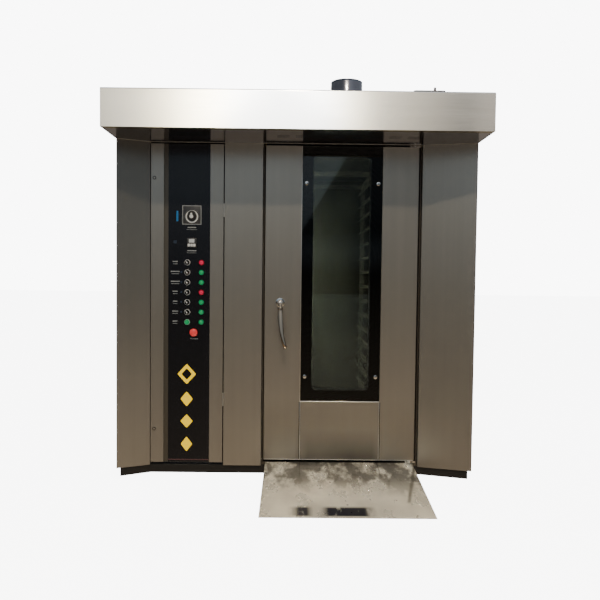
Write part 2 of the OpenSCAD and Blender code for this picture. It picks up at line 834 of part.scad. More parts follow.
// Mineral wool between the outer sheets and the chamber
module insulation() {
    z0 = plinth_h + skin_t;
    z1 = roof_z - skin_t;
    front = return_d + 2 * skin_t;
    inner_w = half_w - skin_t;
    bay_x0 = service_x0 - skin_t;
    bay_x1 = service_x1 + skin_t;
    color(wool) placed() difference() {
        union() {
            slab([-inner_w, front, z0], [min(liner_x0, bay_x0), body_d - skin_t, z1]);
            slab([bay_x0 - 1, bay_d, z0], [bay_x1 + 1, heater_y0, liner_z1 + 1]);
            slab([bay_x1, front, z0], [chamber_x0 - liner_t, heater_y0, liner_z1 + 1]);
            slab([chamber_x0 - liner_t - 1, front, z0],
                 [centre_x1 - skin_t - loose, frame_y0, liner_z1]);
            slab([liner_x1, front, z0], [inner_w, body_d - skin_t, z1]);
            slab([right_x0 + skin_t, front, z0], [liner_x1 + 1, frame_y1, liner_z1 + 1]);
            slab([liner_x0 - 1, liner_y1, z0], [liner_x1 + 1, body_d - skin_t, z1]);
            slab([liner_x0 - 1, front, liner_z1], [liner_x1 + 1, liner_y1 + 1, z1]);
        }
        translate([0, 0, plinth_h]) linear_extrude(liner_z1 - plinth_h) polygon(liner_plan(0));
        slab([centre_x1 - 2 * skin_t, 0, plinth_h], [right_x0 + skin_t, frame_y1, soffit_z + 1]);
        slab([bay_x0, 0, plinth_h], [bay_x1, bay_d, soffit_z]);
        heater_window(bay_d - 1, heater_y0 + 1);
        rod_z(fan_x, fan_y, liner_z1 - 1, roof_z, motor_flange_r + loose);
        rod_z(gland_x, gland_y, liner_z1 - 1, roof_z, gland_hole_r);
    }
}

// Service bay behind the control door
bay_lip = 12;
boss_r = 25;

module service_bay() {
    x0 = service_x0 - skin_t;
    x1 = service_x1 + skin_t;
    z1 = soffit_z - skin_t;
    color(steel) placed() difference() {
        slab([x0, return_d, plinth_h], [x1, bay_d, z1]);
        slab([service_x0, return_d + skin_t, plinth_h + skin_t],
             [service_x1, bay_d - skin_t, z1 - skin_t]);
        slab([service_x0 + bay_lip, return_d - 1, plinth_h + skin_t + bay_lip],
             [service_x1 - bay_lip, return_d + skin_t + 1, z1 - skin_t - bay_lip]);
        heater_window(bay_d - skin_t - 1, bay_d + 1);
        rod_z(drive_x, drive_y, plinth_h - 1, plinth_h + skin_t + 1, boss_r + loose);
    }
}

// Mounting plate with its rails, a row of breakers, two rows of contactors and a terminal strip
plate_y = 200;
plate_in = 24;
plate_z0 = 520;
plate_z1 = soffit_z - 137;
standoff_r = 6;
standoff_in = [10, 20];
rail_h = 35;
rail_t = 7.5;
rail_zs = [for (part = [0.173, 0.394, 0.615, 0.846]) plate_z0 + part * (plate_z1 - plate_z0)];
contactor = [45, 68, 82];
breaker = [18, 60, 84];
terminal = [8, 44, 46];

module rail(z) {
    extrude_x(service_x0 + 2 * plate_in, service_x1 - 2 * plate_in) translate([plate_y, z]) polygon([
        [0, -rail_h / 3], [0, rail_h / 3], [-rail_t + 1, rail_h / 3], [-rail_t + 1, rail_h / 2],
        [-rail_t, rail_h / 2], [-rail_t, rail_h / 3 - 1], [-1, rail_h / 3 - 1],
        [-1, 1 - rail_h / 3], [-rail_t, 1 - rail_h / 3], [-rail_t, -rail_h / 2],
        [-rail_t + 1, -rail_h / 2], [-rail_t + 1, -rail_h / 3]]);
}

// A row of like devices on a rail, each with a stepped front
module device_row(size, z, count) {
    step = (service_w - 5 * plate_in) / count;
    for (i = [0 : count - 1]) translate([service_x0 + 2.5 * plate_in + (i + 0.5) * step, 0, z]) {
        slab([-size.x / 2, plate_y - rail_t - size.y * 0.7, -size.z / 2],
             [size.x / 2, plate_y - rail_t, size.z / 2]);
        slab([-size.x / 2, plate_y - rail_t - size.y, -size.z / 4],
             [size.x / 2, plate_y - rail_t - size.y / 2, size.z / 4]);
    }
}

module electrical_plate() {
    color(bright) placed() {
        a = [service_x0 + plate_in, plate_z0];
        b = [service_x1 - plate_in, plate_z1];
        slab([a.x, plate_y, a.y], [b.x, plate_y + skin_t, b.y]);
        for (x = [a.x + standoff_in.x, b.x - standoff_in.x],
             z = [a.y + standoff_in.y, b.y - standoff_in.y])
            rod_y(x, z, plate_y + 1, bay_d - skin_t, standoff_r);
        for (z = rail_zs) rail(z);
        device_row(terminal, rail_zs[0], 20);
        device_row(contactor, rail_zs[1], 4);
        device_row(contactor, rail_zs[2], 4);
        device_row(breaker, rail_zs[3], 9);
    }
}

// Rack drive: a worm gearmotor in the bay, and the closed chain case under the floor up to the
// turntable's bearing hub
gearbox_w = 110;
drive_motor_r = 52;
drive_motor_l = 150;
gearbox_over = 20;
box_rib_step = 25;
box_rib_t = 4;
box_rib_out = 5;
hub_plate_out = 10;
case_wall = 4;

module rack_drive() {
    run = norm([door_cx - drive_x, turn_y - drive_y]);
    aim = atan2(turn_y - drive_y, door_cx - drive_x);
    box_z0 = plinth_h + skin_t;
    box_z1 = box_z0 + gearbox_w + gearbox_over;
    motor_z = (box_z0 + box_z1) / 2;
    color(dark) placed() difference() {
        union() {
            translate([drive_x, drive_y, case_z0]) rotate(aim)
                slab([boss_r + box_rib_out, 1 - case_r, 0], [run, case_r - 1, case_z1 - case_z0]);
            for (p = [[drive_x, drive_y], [door_cx, turn_y]])
                rod_z(p.x, p.y, case_z0, case_z1, case_r);
            translate([door_cx, turn_y, case_z1]) slab(
                [-hub_r - hub_plate_out, -hub_r - hub_plate_out, 0],
                [hub_r + hub_plate_out, hub_r + hub_plate_out, bearer_z0 - case_z1]);
            translate([door_cx, turn_y, bearer_z0]) slab(
                [-hub_r, bearer_w / 2 - hub_bearer_y + fit, -1],
                [hub_r, hub_bearer_y - bearer_w / 2 - fit, bearer_h]);
            rod_z(door_cx, turn_y, plinth_h, floor_z - turn_t - gap, hub_r);
            rod_z(drive_x, drive_y, case_z1 - 1, box_z0, boss_r);
            slab([drive_x - gearbox_w / 2, drive_y - gearbox_w / 2, box_z0],
                 [drive_x + gearbox_w / 2, drive_y + gearbox_w / 2, box_z1]);
            for (z = [box_z0 + gearbox_over : box_rib_step : box_z1 - box_rib_step]) slab(
                [drive_x - gearbox_w / 2 - box_rib_out, drive_y - gearbox_w / 2 - box_rib_out, z],
                [drive_x + gearbox_w / 2 - 2 * box_rib_out, drive_y + gearbox_w / 2 + box_rib_out, z + box_rib_t]);
            translate([drive_x - gearbox_w / 2 - drive_motor_l, drive_y, motor_z])
                rotate([0, 90, 0]) cylinder(h = drive_motor_l + 1, r = drive_motor_r);
        }
        rod_z(door_cx, turn_y, case_z0 + case_wall, floor_z, shaft_d / 2 + fit);
    }
}

// Door pivots and the keeper behind which the latch cam turns
pivot_x = door_x1 - pivot_in;
pivot_y = pivot_in;
washer_r = 14;
pivot_reach = 38;
bracket_t = 7;
spindle_x = door_x0 + spindle_in;
cam_y = door_t + 41;
cam_play = 2;
bracket_in = 23;
keeper_w = 16;
keeper_t = 14;
keeper_h = 40;
keeper_edge = 10;
keeper_plate_t = 3;

module door_hardware() {
    bracket_x0 = pivot_x - bracket_in;
    bracket_x1 = right_x0 - strip_in - strip_w;
    keeper_y1 = cam_y - cam_play;
    keeper_z0 = spindle_z - 12;
    color(chrome) placed() {
        slab([bracket_x0, plinth_set, floor_z],
             [bracket_x1, pivot_y + bracket_in, floor_z + bracket_t]);
        rod_z(pivot_x, pivot_y, floor_z, door_z0 + pivot_reach, pivot_d / 2);
        rod_z(pivot_x, pivot_y, floor_z, door_z0 - gap, washer_r);
        slab([bracket_x0, plinth_set, soffit_z - bracket_t], [bracket_x1, frame_y0, soffit_z]);
        rod_z(pivot_x, pivot_y, door_z1 - pivot_reach, soffit_z, pivot_d / 2);
        rod_z(pivot_x, pivot_y, door_z1 + gap, soffit_z, washer_r);
        slab([doorway_x0, keeper_y1 - keeper_t - keeper_edge, keeper_z0 - keeper_edge],
             [doorway_x0 + keeper_plate_t, keeper_y1, keeper_z0 + keeper_h + keeper_edge]);
        slab([doorway_x0, keeper_y1 - keeper_t, keeper_z0],
             [doorway_x0 + keeper_w, keeper_y1, keeper_z0 + keeper_h]);
    }
}

// Turntable: a plate on a rim and ribs, with its shaft in the bearing hub
turn_plate_t = 4;
rib_t = 6;
ribs = 8;

module turntable() {
    z0 = floor_z - turn_t;
    color(steel) placed() translate([door_cx, turn_y, 0]) {
        rod_z(0, 0, floor_z - turn_plate_t, floor_z, turn_r);
        difference() {
            rod_z(0, 0, z0, floor_z - 1, turn_r);
            rod_z(0, 0, z0 - 1, floor_z - 1, turn_r - 2 * rib_t);
        }
        for (i = [0 : ribs - 1]) rotate(i * 360 / ribs)
            slab([hub_r / 2, -rib_t / 2, z0], [turn_r - rib_t, rib_t / 2, floor_z - 1]);
        rod_z(0, 0, z0, floor_z - 1, hub_r);
        rod_z(0, 0, case_z0 + 6, floor_z - 1, shaft_d / 2);
    }
}

// Rack
runner_x = tray_w / 2 + runner_t;
rack_half_w = runner_x + tube_w;
caster_plate_t = 4;
race_h = 10;
crown_t = 5;
wheel_room = 13;
crown_z1 = floor_z + gap + wheel_d + wheel_room;
rack_z0 = crown_z1 + gap + race_h + caster_plate_t;
rack_head = tier_pitch * 3 / 4;
tier_z0 = floor_z + first_tier;
tiers = 1 + floor((doorway_z1 - rack_room - rack_head - tier_z0) / tier_pitch);
tiers_z = [for (i = [0 : tiers - 1]) tier_z0 + i * tier_pitch];
rack_z1 = tiers_z[tiers - 1] + rack_head;
caster_in = 30;
caster_x = rack_half_w - caster_in;
caster_y = rack_l / 2 - caster_in;
pin_r = 6;
race_r = 25;
crown_r = 28;
axle_z = floor_z + gap + wheel_d / 2;
leg_x = wheel_w / 2 + 3;
leg_t = 3;

// The two legs and the axle of a caster, under its crown
module caster_legs(back, crown_z) {
    for (x = [-leg_x - leg_t, leg_x]) extrude_x(x, x + leg_t) polygon([
        [-back - axle_d, axle_z - axle_d], [axle_d - back, axle_z - axle_d],
        [race_r - 4, crown_z], [-race_r, crown_z]]);
    translate([-leg_x - leg_t, -back, axle_z]) rotate([0, 90, 0])
        cylinder(h = 2 * (leg_x + leg_t), r = axle_d / 2);
}

// One side of the rack: two uprights, the tubes between them and the tray runners
module rack_side() {
    slab([runner_x, -rack_l / 2, rack_z0], [rack_half_w, rack_l / 2, rack_z0 + tube_w]);
    slab([runner_x, -rack_l / 2, rack_z1 - tube_w], [rack_half_w, rack_l / 2, rack_z1]);
    for (y = [-rack_l / 2, rack_l / 2 - tube_w])
        slab([runner_x, y, rack_z0], [rack_half_w, y + tube_w, rack_z1]);
    for (z = tiers_z) {
        slab([tray_w / 2 - ledge_w, -rack_l / 2, z - runner_t], [runner_x, rack_l / 2, z]);
        slab([tray_w / 2, -rack_l / 2, z - runner_t], [runner_x, rack_l / 2, z + ledge_w]);
    }
}

module rack_sides() {
    color(bright) placed() translate([door_cx, turn_y, 0]) for (side = [0, 1])
        mirror([side, 0, 0]) rack_side();
}

// The tubes across the rack, with the caster plates under the lower two
module rack_cross_tubes() {
    color(bright) placed() translate([door_cx, turn_y, 0]) difference() {
        union() {
            for (y = [-rack_l / 2, rack_l / 2 - tube_w], z = [rack_z0, rack_z1 - tube_w])
                slab([-runner_x, y, z], [runner_x, y + tube_w, z + tube_w]);
            for (x = [-caster_x, caster_x], y = [-caster_y, caster_y]) {
                slab([x - caster_in, y - caster_in, rack_z0 - caster_plate_t],
                     [x + caster_in, y + caster_in, rack_z0]);
                rod_z(x, y, crown_z1 + gap, rack_z0, race_r);
            }
            for (x = [-caster_x, caster_x]) translate([x, caster_y, 0]) {
                rod_z(0, 0, crown_z1 - crown_t, crown_z1 + 1, crown_r);
                caster_legs(0, crown_z1 - crown_t);
            }
        }
        for (x = [-caster_x, caster_x])
            rod_z(x, -caster_y, crown_z1, rack_z0 - 1, pin_r + fit);
    }
}

module caster_fork(x) {
    color(chrome) placed() translate([door_cx + x, turn_y - caster_y, 0]) {
        rod_z(0, 0, crown_z1 - crown_t, crown_z1, crown_r);
        rod_z(0, 0, crown_z1 - 1, rack_z0 - 2, pin_r);
        caster_legs(trail, crown_z1 - crown_t);
    }
}

module caster_fork_left() { caster_fork(-caster_x); }

module caster_fork_right() { caster_fork(caster_x); }

// A caster wheel: a crowned tread, a dished web and a hub that fills the fork
module caster_wheel(x, y) {
    r = wheel_d / 2;
    hub_w = leg_x - gap;
    web_w = wheel_w / 4;
    color(dark) placed() translate([door_cx + x, turn_y + y, axle_z]) rotate([0, 90, 0])
        rotate_extrude() polygon([
            [axle_d / 2 + fit, -hub_w], [axle_d + 3, -hub_w], [axle_d + 5, -web_w],
            [r - 12, -web_w], [r - 9, -wheel_w / 2], [r - 2, -wheel_w / 2],
            [r, -wheel_w / 4], [r, wheel_w / 4], [r - 2, wheel_w / 2], [r - 9, wheel_w / 2],
            [r - 12, web_w], [axle_d + 5, web_w], [axle_d + 3, hub_w], [axle_d / 2 + fit, hub_w]]);
}

module caster_wheel_front_left() { caster_wheel(-caster_x, -caster_y - trail); }

module caster_wheel_front_right() { caster_wheel(caster_x, -caster_y - trail); }

module caster_wheel_back_left() { caster_wheel(-caster_x, caster_y); }

module caster_wheel_back_right() { caster_wheel(caster_x, caster_y); }

// Oven door
glass_x0 = door_x0 + left_stile_w;
glass_x1 = door_x1 - right_stile_w;
glass_z0 = door_z0 + foot_panel_h;
core_y0 = glass_sink + outer_glass_t;
core_y1 = door_t - skin_t;
window_a = [glass_x0 + window_edge, glass_z0 + window_edge];
window_b = [glass_x1 - window_edge, door_z1 - window_edge * 0.8];
plate_seam = 1.5;

module window_hole(y0, y1, grow) {
    extrude_y(y0, y1) round_rect(window_a - [grow, grow], window_b + [grow, grow], window_r + grow);
}

module stile(path) {
    translate([0, 0, door_z0]) linear_extrude(door_z1 - door_z0) polygon(bent_sheet(path, skin_t));
}

module door_skin() {
    color(steel) placed() difference() {
        union() {
            stile([[door_x0, core_y1], [door_x0, 0], [glass_x0, 0], [glass_x0, core_y0]]);
            stile([[glass_x1, core_y0], [glass_x1, 0], [door_x1, 0], [door_x1, core_y1]]);
            for (span = [[door_x0, glass_x0 - skin_t], [glass_x1 + skin_t, door_x1]],
                 z = [door_z0, door_z1 - skin_t])
                slab([span[0], 0, z], [span[1], core_y1, z + skin_t]);
            extrude_x(glass_x0 + plate_seam, glass_x1 - plate_seam) polygon(bent_sheet([
                [core_y0, glass_z0], [0, glass_z0], [0, door_z0], [core_y1, door_z0]], skin_t));
        }
        rod_z(pivot_x, pivot_y, door_z0 - 1, door_z0 + skin_t + 1, pivot_d / 2 + loose);
        rod_z(pivot_x, pivot_y, door_z1 - skin_t - 1, door_z1 + 1, pivot_d / 2 + loose);
        rod_y(spindle_x, spindle_z, -1, skin_t + 1, spindle_d / 2 + loose);
    }
}

module door_core() {
    z0 = door_z0 + skin_t;
    z1 = door_z1 - skin_t;
    color(dark) placed() difference() {
        slab([door_x0 + skin_t, skin_t, z0], [door_x1 - skin_t, core_y1, z1]);
        for (x = [glass_x0 - skin_t, glass_x1]) slab([x, 0, z0 - 1], [x + skin_t, core_y0, z1 + 1]);
        slab([glass_x0 - skin_t, 0, glass_z0 - skin_t], [glass_x1 + skin_t, core_y0, z1 + 1]);
        window_hole(0, door_t, 0);
        rod_z(pivot_x, pivot_y, z0 - 1, door_z0 + pivot_reach + 2, pivot_d / 2 + fit);
        rod_z(pivot_x, pivot_y, door_z1 - pivot_reach - 2, z1 + 1, pivot_d / 2 + fit);
        rod_y(spindle_x, spindle_z, 0, door_t, spindle_d / 2 + fit);
    }
}

// The inner sheet, its cap over the glass and the clips of the inner glass
clip_w = 30;
clip_foot = 8;
clip_lap = 6;
glass_lap = 8;

module door_inner_pan() {
    lap_x = [window_a.x - glass_lap, window_b.x + glass_lap];
    clip_y1 = door_t + inner_glass_t + skin_t;
    color(bright) placed() {
        difference() {
            slab([door_x0, core_y1, door_z0], [door_x1, door_t, door_z1]);
            window_hole(0, door_t + 1, 0);
            rod_y(spindle_x, spindle_z, 0, door_t + 1, spindle_d / 2 + loose);
        }
        slab([glass_x0, core_y0, door_z1 - skin_t], [glass_x1, core_y1 + 1, door_z1]);
        for (f = [0.1, 0.5, 0.9], side = [0, 1]) {
            z = window_a.y + f * (window_b.y - window_a.y);
            x = lap_x[side];
            out = side == 0 ? -1 : 1;
            slab([min(x, x + out * clip_foot), door_t - 1, z],
                 [max(x, x + out * clip_foot), clip_y1, z + clip_w]);
            slab([min(x - out * clip_lap, x + out * clip_foot), door_t + inner_glass_t, z],
                 [max(x - out * clip_lap, x + out * clip_foot), clip_y1, z + clip_w]);
        }
    }
}

stud_xs = [glass_x0 + stud_in, glass_x1 - stud_in];
stud_zs = [glass_z0 + stud_foot, door_z1 - stud_drop];
shank_r = 5;

module door_glass_outer() {
    color([0.1, 0.12, 0.12, 0.6]) placed() difference() {
        slab([glass_x0 + loose, glass_sink, glass_z0 + loose], [glass_x1 - loose, core_y0, door_z1]);
        for (x = stud_xs, z = stud_zs) rod_y(x, z, 0, door_t, shank_r + fit);
    }
}

module door_glass_inner() {
    color([0.1, 0.12, 0.12, 0.5]) placed()
        slab([window_a.x - glass_lap, door_t, window_a.y - glass_lap],
             [window_b.x + glass_lap, door_t + inner_glass_t, window_b.y + glass_lap]);
}

module door_fittings() {
    color(chrome) placed() {
        for (x = stud_xs, z = stud_zs) {
            rod_y(x, z, -1, glass_sink, stud_d / 2);
            rod_y(x, z, glass_sink - 1, core_y0, shank_r);
        }
        difference() {
            rod_y(spindle_x, spindle_z, -rose_t, 0, rose_d / 2);
            rod_y(spindle_x, spindle_z, -rose_t - 1, 1, spindle_d / 2 + loose);
        }
    }
}

wiper_y = 60;
wiper_t = 6;

module door_gasket() {
    x0 = doorway_x0 - 8;
    x1 = doorway_x1 + 8;
    z1 = doorway_z1 + 8;
    color(dark) placed() {
        difference() {
            slab([x0 - gasket_w, door_t, door_z0 + skin_t],
                 [x1 + gasket_w, door_t + gasket_t, z1 + gasket_w]);
            slab([x0, door_t - 1, door_z0], [x1, door_t + gasket_t + 1, z1]);
        }
        slab([x0, wiper_y, floor_z + gap], [x1 - 4 * gasket_w, wiper_y + wiper_t, door_z0]);
    }
}

// Handle: the hub, a lever that tapers and curves down from it, the spindle and the latch cam
hub_y0 = -finger_gap - lever_t;
// Shares of the lever's length sideways and down, and of its thickness as a radius
lever_points = [[0, 0, 0.52], [0.005, -0.2, 0.56], [0.02, -0.4, 0.52], [0.04, -0.6, 0.5],
                [0.07, -0.8, 0.52], [0.1, -0.92, 0.55], [0.13, -1, 0.5]];
function lever_at(i) = [spindle_x + lever_points[i].x * lever_l,
                        hub_y0 + lever_t / 2 + lever_lean * lever_points[i].y * (2 + lever_points[i].y),
                        spindle_z + lever_points[i].y * lever_l];
cam_w = 14;
cam_ring_r = 12;
cam_nose = 6;

module door_handle() {
    color(chrome) placed() {
        for (i = [0 : len(lever_points) - 2]) hull() {
            translate(lever_at(i)) sphere(lever_t * lever_points[i].z, $fn = 32);
            translate(lever_at(i + 1)) sphere(lever_t * lever_points[i + 1].z, $fn = 32);
        }
        rod_y(spindle_x, spindle_z, hub_y0, -rose_t - gap, hub_d / 2);
        rod_y(spindle_x, spindle_z, -finger_gap, cam_y + cam_t, spindle_d / 2);
        rod_y(spindle_x, spindle_z, cam_y, cam_y + cam_t, cam_ring_r);
        extrude_y(cam_y, cam_y + cam_t) polygon([
            [spindle_x - cam_w / 2, spindle_z], [spindle_x + cam_w / 2, spindle_z],
            [spindle_x + cam_nose, spindle_z + cam_l - cam_nose], [spindle_x, spindle_z + cam_l],
            [spindle_x - cam_nose, spindle_z + cam_l - cam_nose]]);
    }
}

// Control door
strip_x0 = service_x0 + service_gap;
sunk_x0 = strip_x0 + lock_strip_w;
panel_x0 = sunk_x0 + sunk_band_w;
panel_x1 = panel_x0 + panel_w;
strip_x1 = service_x1 - service_gap;
panel_y1 = panel_sink + panel_t;
selector_x = panel_x0 + selector_in;
lamp_x = panel_x0 + lamp_in;
row_z = [for (i = [0 : selectors]) row_z0 + i * row_pitch];
estop_x = (selector_x + lamp_x) / 2;
estop_z = row_z0 - estop_drop;
dial_x = (selector_x + lamp_x) / 2 - 14;
hole_r = 11;
bezel_t = 6;

// Holes for every device, from y0 to y1
module device_holes(y0, y1) {
    for (z = row_z) {
        rod_y(selector_x, z, y0, y1, hole_r + fit);
        rod_y(lamp_x, z, y0, y1, hole_r + fit);
    }
    rod_y(estop_x, estop_z, y0, y1, hole_r + fit);
    rod_y(dial_x, dial_z, y0, y1, hole_r + fit);
    half = relay_w / 2 - 2;
    slab([dial_x - half, y0, relay_z - half], [dial_x + half, y1, relay_z + half]);
}

lock_zs = [service_z0 + lock_in, service_z1 - lock_in];
lock_r = 9;
lock_aside = 15;

module control_door_shell() {
    path = [[strip_x0, service_t], [strip_x0, 0], [sunk_x0, 0], [sunk_x0, panel_y1],
            [panel_x1, panel_y1], [panel_x1, 0], [strip_x1, 0], [strip_x1, service_t]];
    color(steel) placed() {
        difference() {
            union() {
                translate([0, 0, service_z0]) linear_extrude(service_z1 - service_z0)
                    polygon(bent_sheet(path, skin_t));
                for (z = [service_z0, service_z1 - skin_t])
                    translate([0, 0, z]) linear_extrude(skin_t) polygon(path);
            }
            device_holes(-1, service_t);
        }
        for (z = lock_zs) rod_y((strip_x0 + sunk_x0) / 2 - lock_aside, z, -3, 1, lock_r);
        for (z = hinge_zs) difference() {
            hinge_leaf(z, [strip_x1 - hinge_leaf_w, hinge_x - knuckle_d / 2 - gap],
                       [[z - hinge_h / 6 + gap, z + hinge_h / 6 - gap]]);
            rod_z(hinge_x, hinge_y, z - hinge_h, z + hinge_h, hinge_pin_r + fit);
        }
    }
}

module control_panel() {
    color(dark) placed() difference() {
        slab([panel_x0, panel_sink, service_z0 + skin_t],
             [panel_x1 - loose, panel_y1, service_z1 - skin_t]);
        device_holes(0, panel_y1 + 1);
    }
}

barrel_l = 40;

// A bezel with the barrel behind it, and a bore for a stem
module bezel(x, z, r, bore_r) {
    difference() {
        union() {
            rod_y(x, z, panel_sink - bezel_t, panel_sink, r);
            rod_y(x, z, panel_sink - 1, barrel_l, hole_r);
            rod_y(x, z, panel_y1 + skin_t, panel_y1 + skin_t + 6, hole_r + 3);
        }
        rod_y(x, z, panel_sink - bezel_t - 1, barrel_l + 1, bore_r);
    }
}

dial_ring_r = 32;

module device_bezels() {
    color(dark) placed() {
        for (z = row_z) {
            bezel(selector_x, z, bezel_d / 2, stem_d / 2 + fit);
            bezel(lamp_x, z, lamp_bezel_d / 2, stem_d / 2 + fit);
        }
        bezel(estop_x, estop_z, bezel_d / 2, stem_d / 2 + fit);
        difference() {
            union() {
                slab([dial_x - dial_plate_w / 2, 0, dial_z - dial_plate_w / 2],
                     [dial_x + dial_plate_w / 2, panel_sink, dial_z + dial_plate_w / 2]);
                rod_y(dial_x, dial_z - 8, -1, 0, dial_ring_r);
                rod_y(dial_x, dial_z, 1, barrel_l, hole_r);
            }
            rod_y(dial_x, dial_z, -2, barrel_l + 1, stem_d / 4 + fit);
        }
    }
}

dial_skirt = 5;
dial_grip = 18;
pointer_w = 6;
pointer_out = 3;

module dial_knob() {
    face = -1 - gap;
    color(chrome) placed() {
        rod_y(dial_x, dial_z, face - dial_skirt, face, dial_d / 2);
        rod_y(dial_x, dial_z, face - dial_grip, face - 1, dial_d / 2 - dial_skirt + 1);
        slab([dial_x - pointer_w / 2, face - dial_grip - pointer_out,
              dial_z - dial_d / 2 + pointer_out],
             [dial_x + pointer_w / 2, face - dial_grip + 1, dial_z + dial_d / 2 - pointer_out]);
        rod_y(dial_x, dial_z, face - 1, barrel_l - dial_skirt + 1, stem_d / 4);
    }
}

relay_rim = 4;
relay_key_w = 10;
relay_key_step = 13;
relay_face = panel_sink - bezel_t;

module time_relay() {
    half = relay_w / 2;
    body = half - skin_t - fit;
    color(dark) placed() {
        difference() {
            slab([dial_x - half, relay_face, relay_z - half],
                 [dial_x + half, panel_sink, relay_z + half]);
            slab([dial_x - half + relay_rim, relay_face - 1, relay_z],
                 [dial_x + half - relay_rim, relay_face + 1, relay_z + half - relay_rim]);
        }
        slab([dial_x - body, panel_sink - 1, relay_z - body], [dial_x + body, relay_d, relay_z + body]);
        for (i = [-1, 0, 1]) translate([dial_x + i * relay_key_step, 0, relay_z]) slab(
            [-relay_key_w / 2, relay_face - 1, relay_rim - half],
            [relay_key_w / 2, relay_face + 1, -relay_rim]);
    }
}

module lamp_lenses() {
    color([0.2, 0.7, 0.4]) placed() for (z = row_z) {
        rod_y(lamp_x, z, panel_sink - bezel_t - 5, panel_sink - bezel_t, lens_d / 2);
        intersection() {
            translate([lamp_x, panel_sink - bezel_t + 2, z]) sphere(lens_d / 2 + 2);
            rod_y(lamp_x, z, panel_sink - bezel_t - 14, panel_sink - bezel_t - 4, lens_d / 2);
        }
        rod_y(lamp_x, z, panel_sink - bezel_t - 1, barrel_l - 2, stem_d / 2);
    }
}

selector_t = 6;
selector_out = 10;
grip_w = 8;
grip_turn = 35;

// A rotary selector at one row, counted from the top
module selector(number) {
    z = row_z[len(row_z) - number];
    face = panel_sink - bezel_t - gap;
    color(dark) placed() {
        disc_r = bezel_d / 2 - bezel_t / 2;
        rod_y(selector_x, z, face - selector_t, face, disc_r);
        translate([selector_x, 0, z]) rotate([0, -grip_turn, 0])
            slab([-grip_w / 2, face - selector_t - selector_out, -disc_r],
                 [grip_w / 2, face - selector_t + 1, disc_r]);
        rod_y(selector_x, z, face - 1, barrel_l - 2, stem_d / 2);
    }
}

module selector_1() { selector(1); }

module selector_2() { selector(2); }

module selector_3() { selector(3); }

module selector_4() { selector(4); }

module selector_5() { selector(5); }

module selector_6() { selector(6); }

press = 3;

module start_button() {
    face = panel_sink - bezel_t - gap - press;
    color([0.2, 0.7, 0.4]) placed() {
        rod_y(selector_x, row_z0, face - 4, face, lens_d / 2);
        rod_y(selector_x, row_z0, face - 1, barrel_l - 2 * press, stem_d / 2);
    }
}

estop_press = 5;

module estop_button() {
    face = panel_sink - bezel_t - gap - estop_press;
    color([0.85, 0.22, 0.15]) placed() {
        translate([estop_x, face, estop_z]) rotate([90, 0, 0]) rotate_extrude() polygon([
            [0, 0], [stem_d / 2, 0], [stem_d / 2, 4], [estop_d / 2 - 3, 6], [estop_d / 2, 9],
            [estop_d / 2, 12], [estop_d / 2 - 3, 16], [estop_d / 4, 19], [0, 20]]);
        rod_y(estop_x, estop_z, face - 2, barrel_l - 2 * estop_press, stem_d / 2);
    }
}

base_frame();
chamber_floor();
left_side_panel();
right_side_panel();
back_panel();
roof_panel();
left_front_column();
right_front_column();
front_centre_panel();
front_header();
door_frame();
hood_shell();
hood_soffit();
exhaust_spigot();
hood_fan_motor();
hood_fan_wheel();
entry_ramp();
chamber_liner();
chamber_ceiling();
air_supply_panel();
air_return_panel();
heater_bank();
circulation_fan_motor();
circulation_fan_wheel();
insulation();
service_bay();
electrical_plate();
rack_drive();
door_hardware();
turntable();
rack_sides();
rack_cross_tubes();
caster_fork_left();
caster_fork_right();
caster_wheel_front_left();
caster_wheel_front_right();
caster_wheel_back_left();
caster_wheel_back_right();
door_skin();
door_core();
door_inner_pan();
door_glass_outer();
door_glass_inner();
door_fittings();
door_gasket();
door_handle();
control_door_shell();
control_panel();
dial_knob();
time_relay();
device_bezels();
lamp_lenses();
selector_1();
selector_2();
selector_3();
selector_4();
selector_5();
selector_6();
start_button();
estop_button();
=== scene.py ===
import json
import math

import bmesh
import bpy
from mathutils import Matrix, Vector


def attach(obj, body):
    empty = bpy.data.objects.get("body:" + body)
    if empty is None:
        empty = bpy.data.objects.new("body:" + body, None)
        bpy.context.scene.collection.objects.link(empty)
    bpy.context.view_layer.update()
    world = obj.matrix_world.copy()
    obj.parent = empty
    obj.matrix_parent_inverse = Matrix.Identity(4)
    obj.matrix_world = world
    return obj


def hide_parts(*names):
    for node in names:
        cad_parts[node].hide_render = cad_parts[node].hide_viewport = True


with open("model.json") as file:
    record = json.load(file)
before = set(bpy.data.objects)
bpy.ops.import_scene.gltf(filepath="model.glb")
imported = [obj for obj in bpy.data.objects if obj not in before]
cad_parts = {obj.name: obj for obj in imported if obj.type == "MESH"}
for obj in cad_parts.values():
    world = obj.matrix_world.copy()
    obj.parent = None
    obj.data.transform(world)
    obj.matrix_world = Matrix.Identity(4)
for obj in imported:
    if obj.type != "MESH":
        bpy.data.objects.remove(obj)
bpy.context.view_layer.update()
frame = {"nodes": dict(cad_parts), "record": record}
print("frame loaded:", len(frame["nodes"]), "nodes")

scene = bpy.context.scene
frontY = -0.425                 # the cabinet's front plane; pieces are drawn in mm from it
toWhole = Matrix.Translation((0, frontY, 0)) @ Matrix.Scale(0.001, 4)
slotOf = {part["node"]: part["material_slot"] for part in frame["record"]["subparts"]}
bodyOf = {node: body for body, nodes in frame["record"]["behaviour"]["bodies"].items()
          for node in nodes}


# camera, taken from the photograph's perspective
camera = {"place": (-0.00685, -3.7398, 1.04117), "lens": 38.86,
          "yaw": 0.4654, "pitch": -2.3661, "roll": 0.6455}

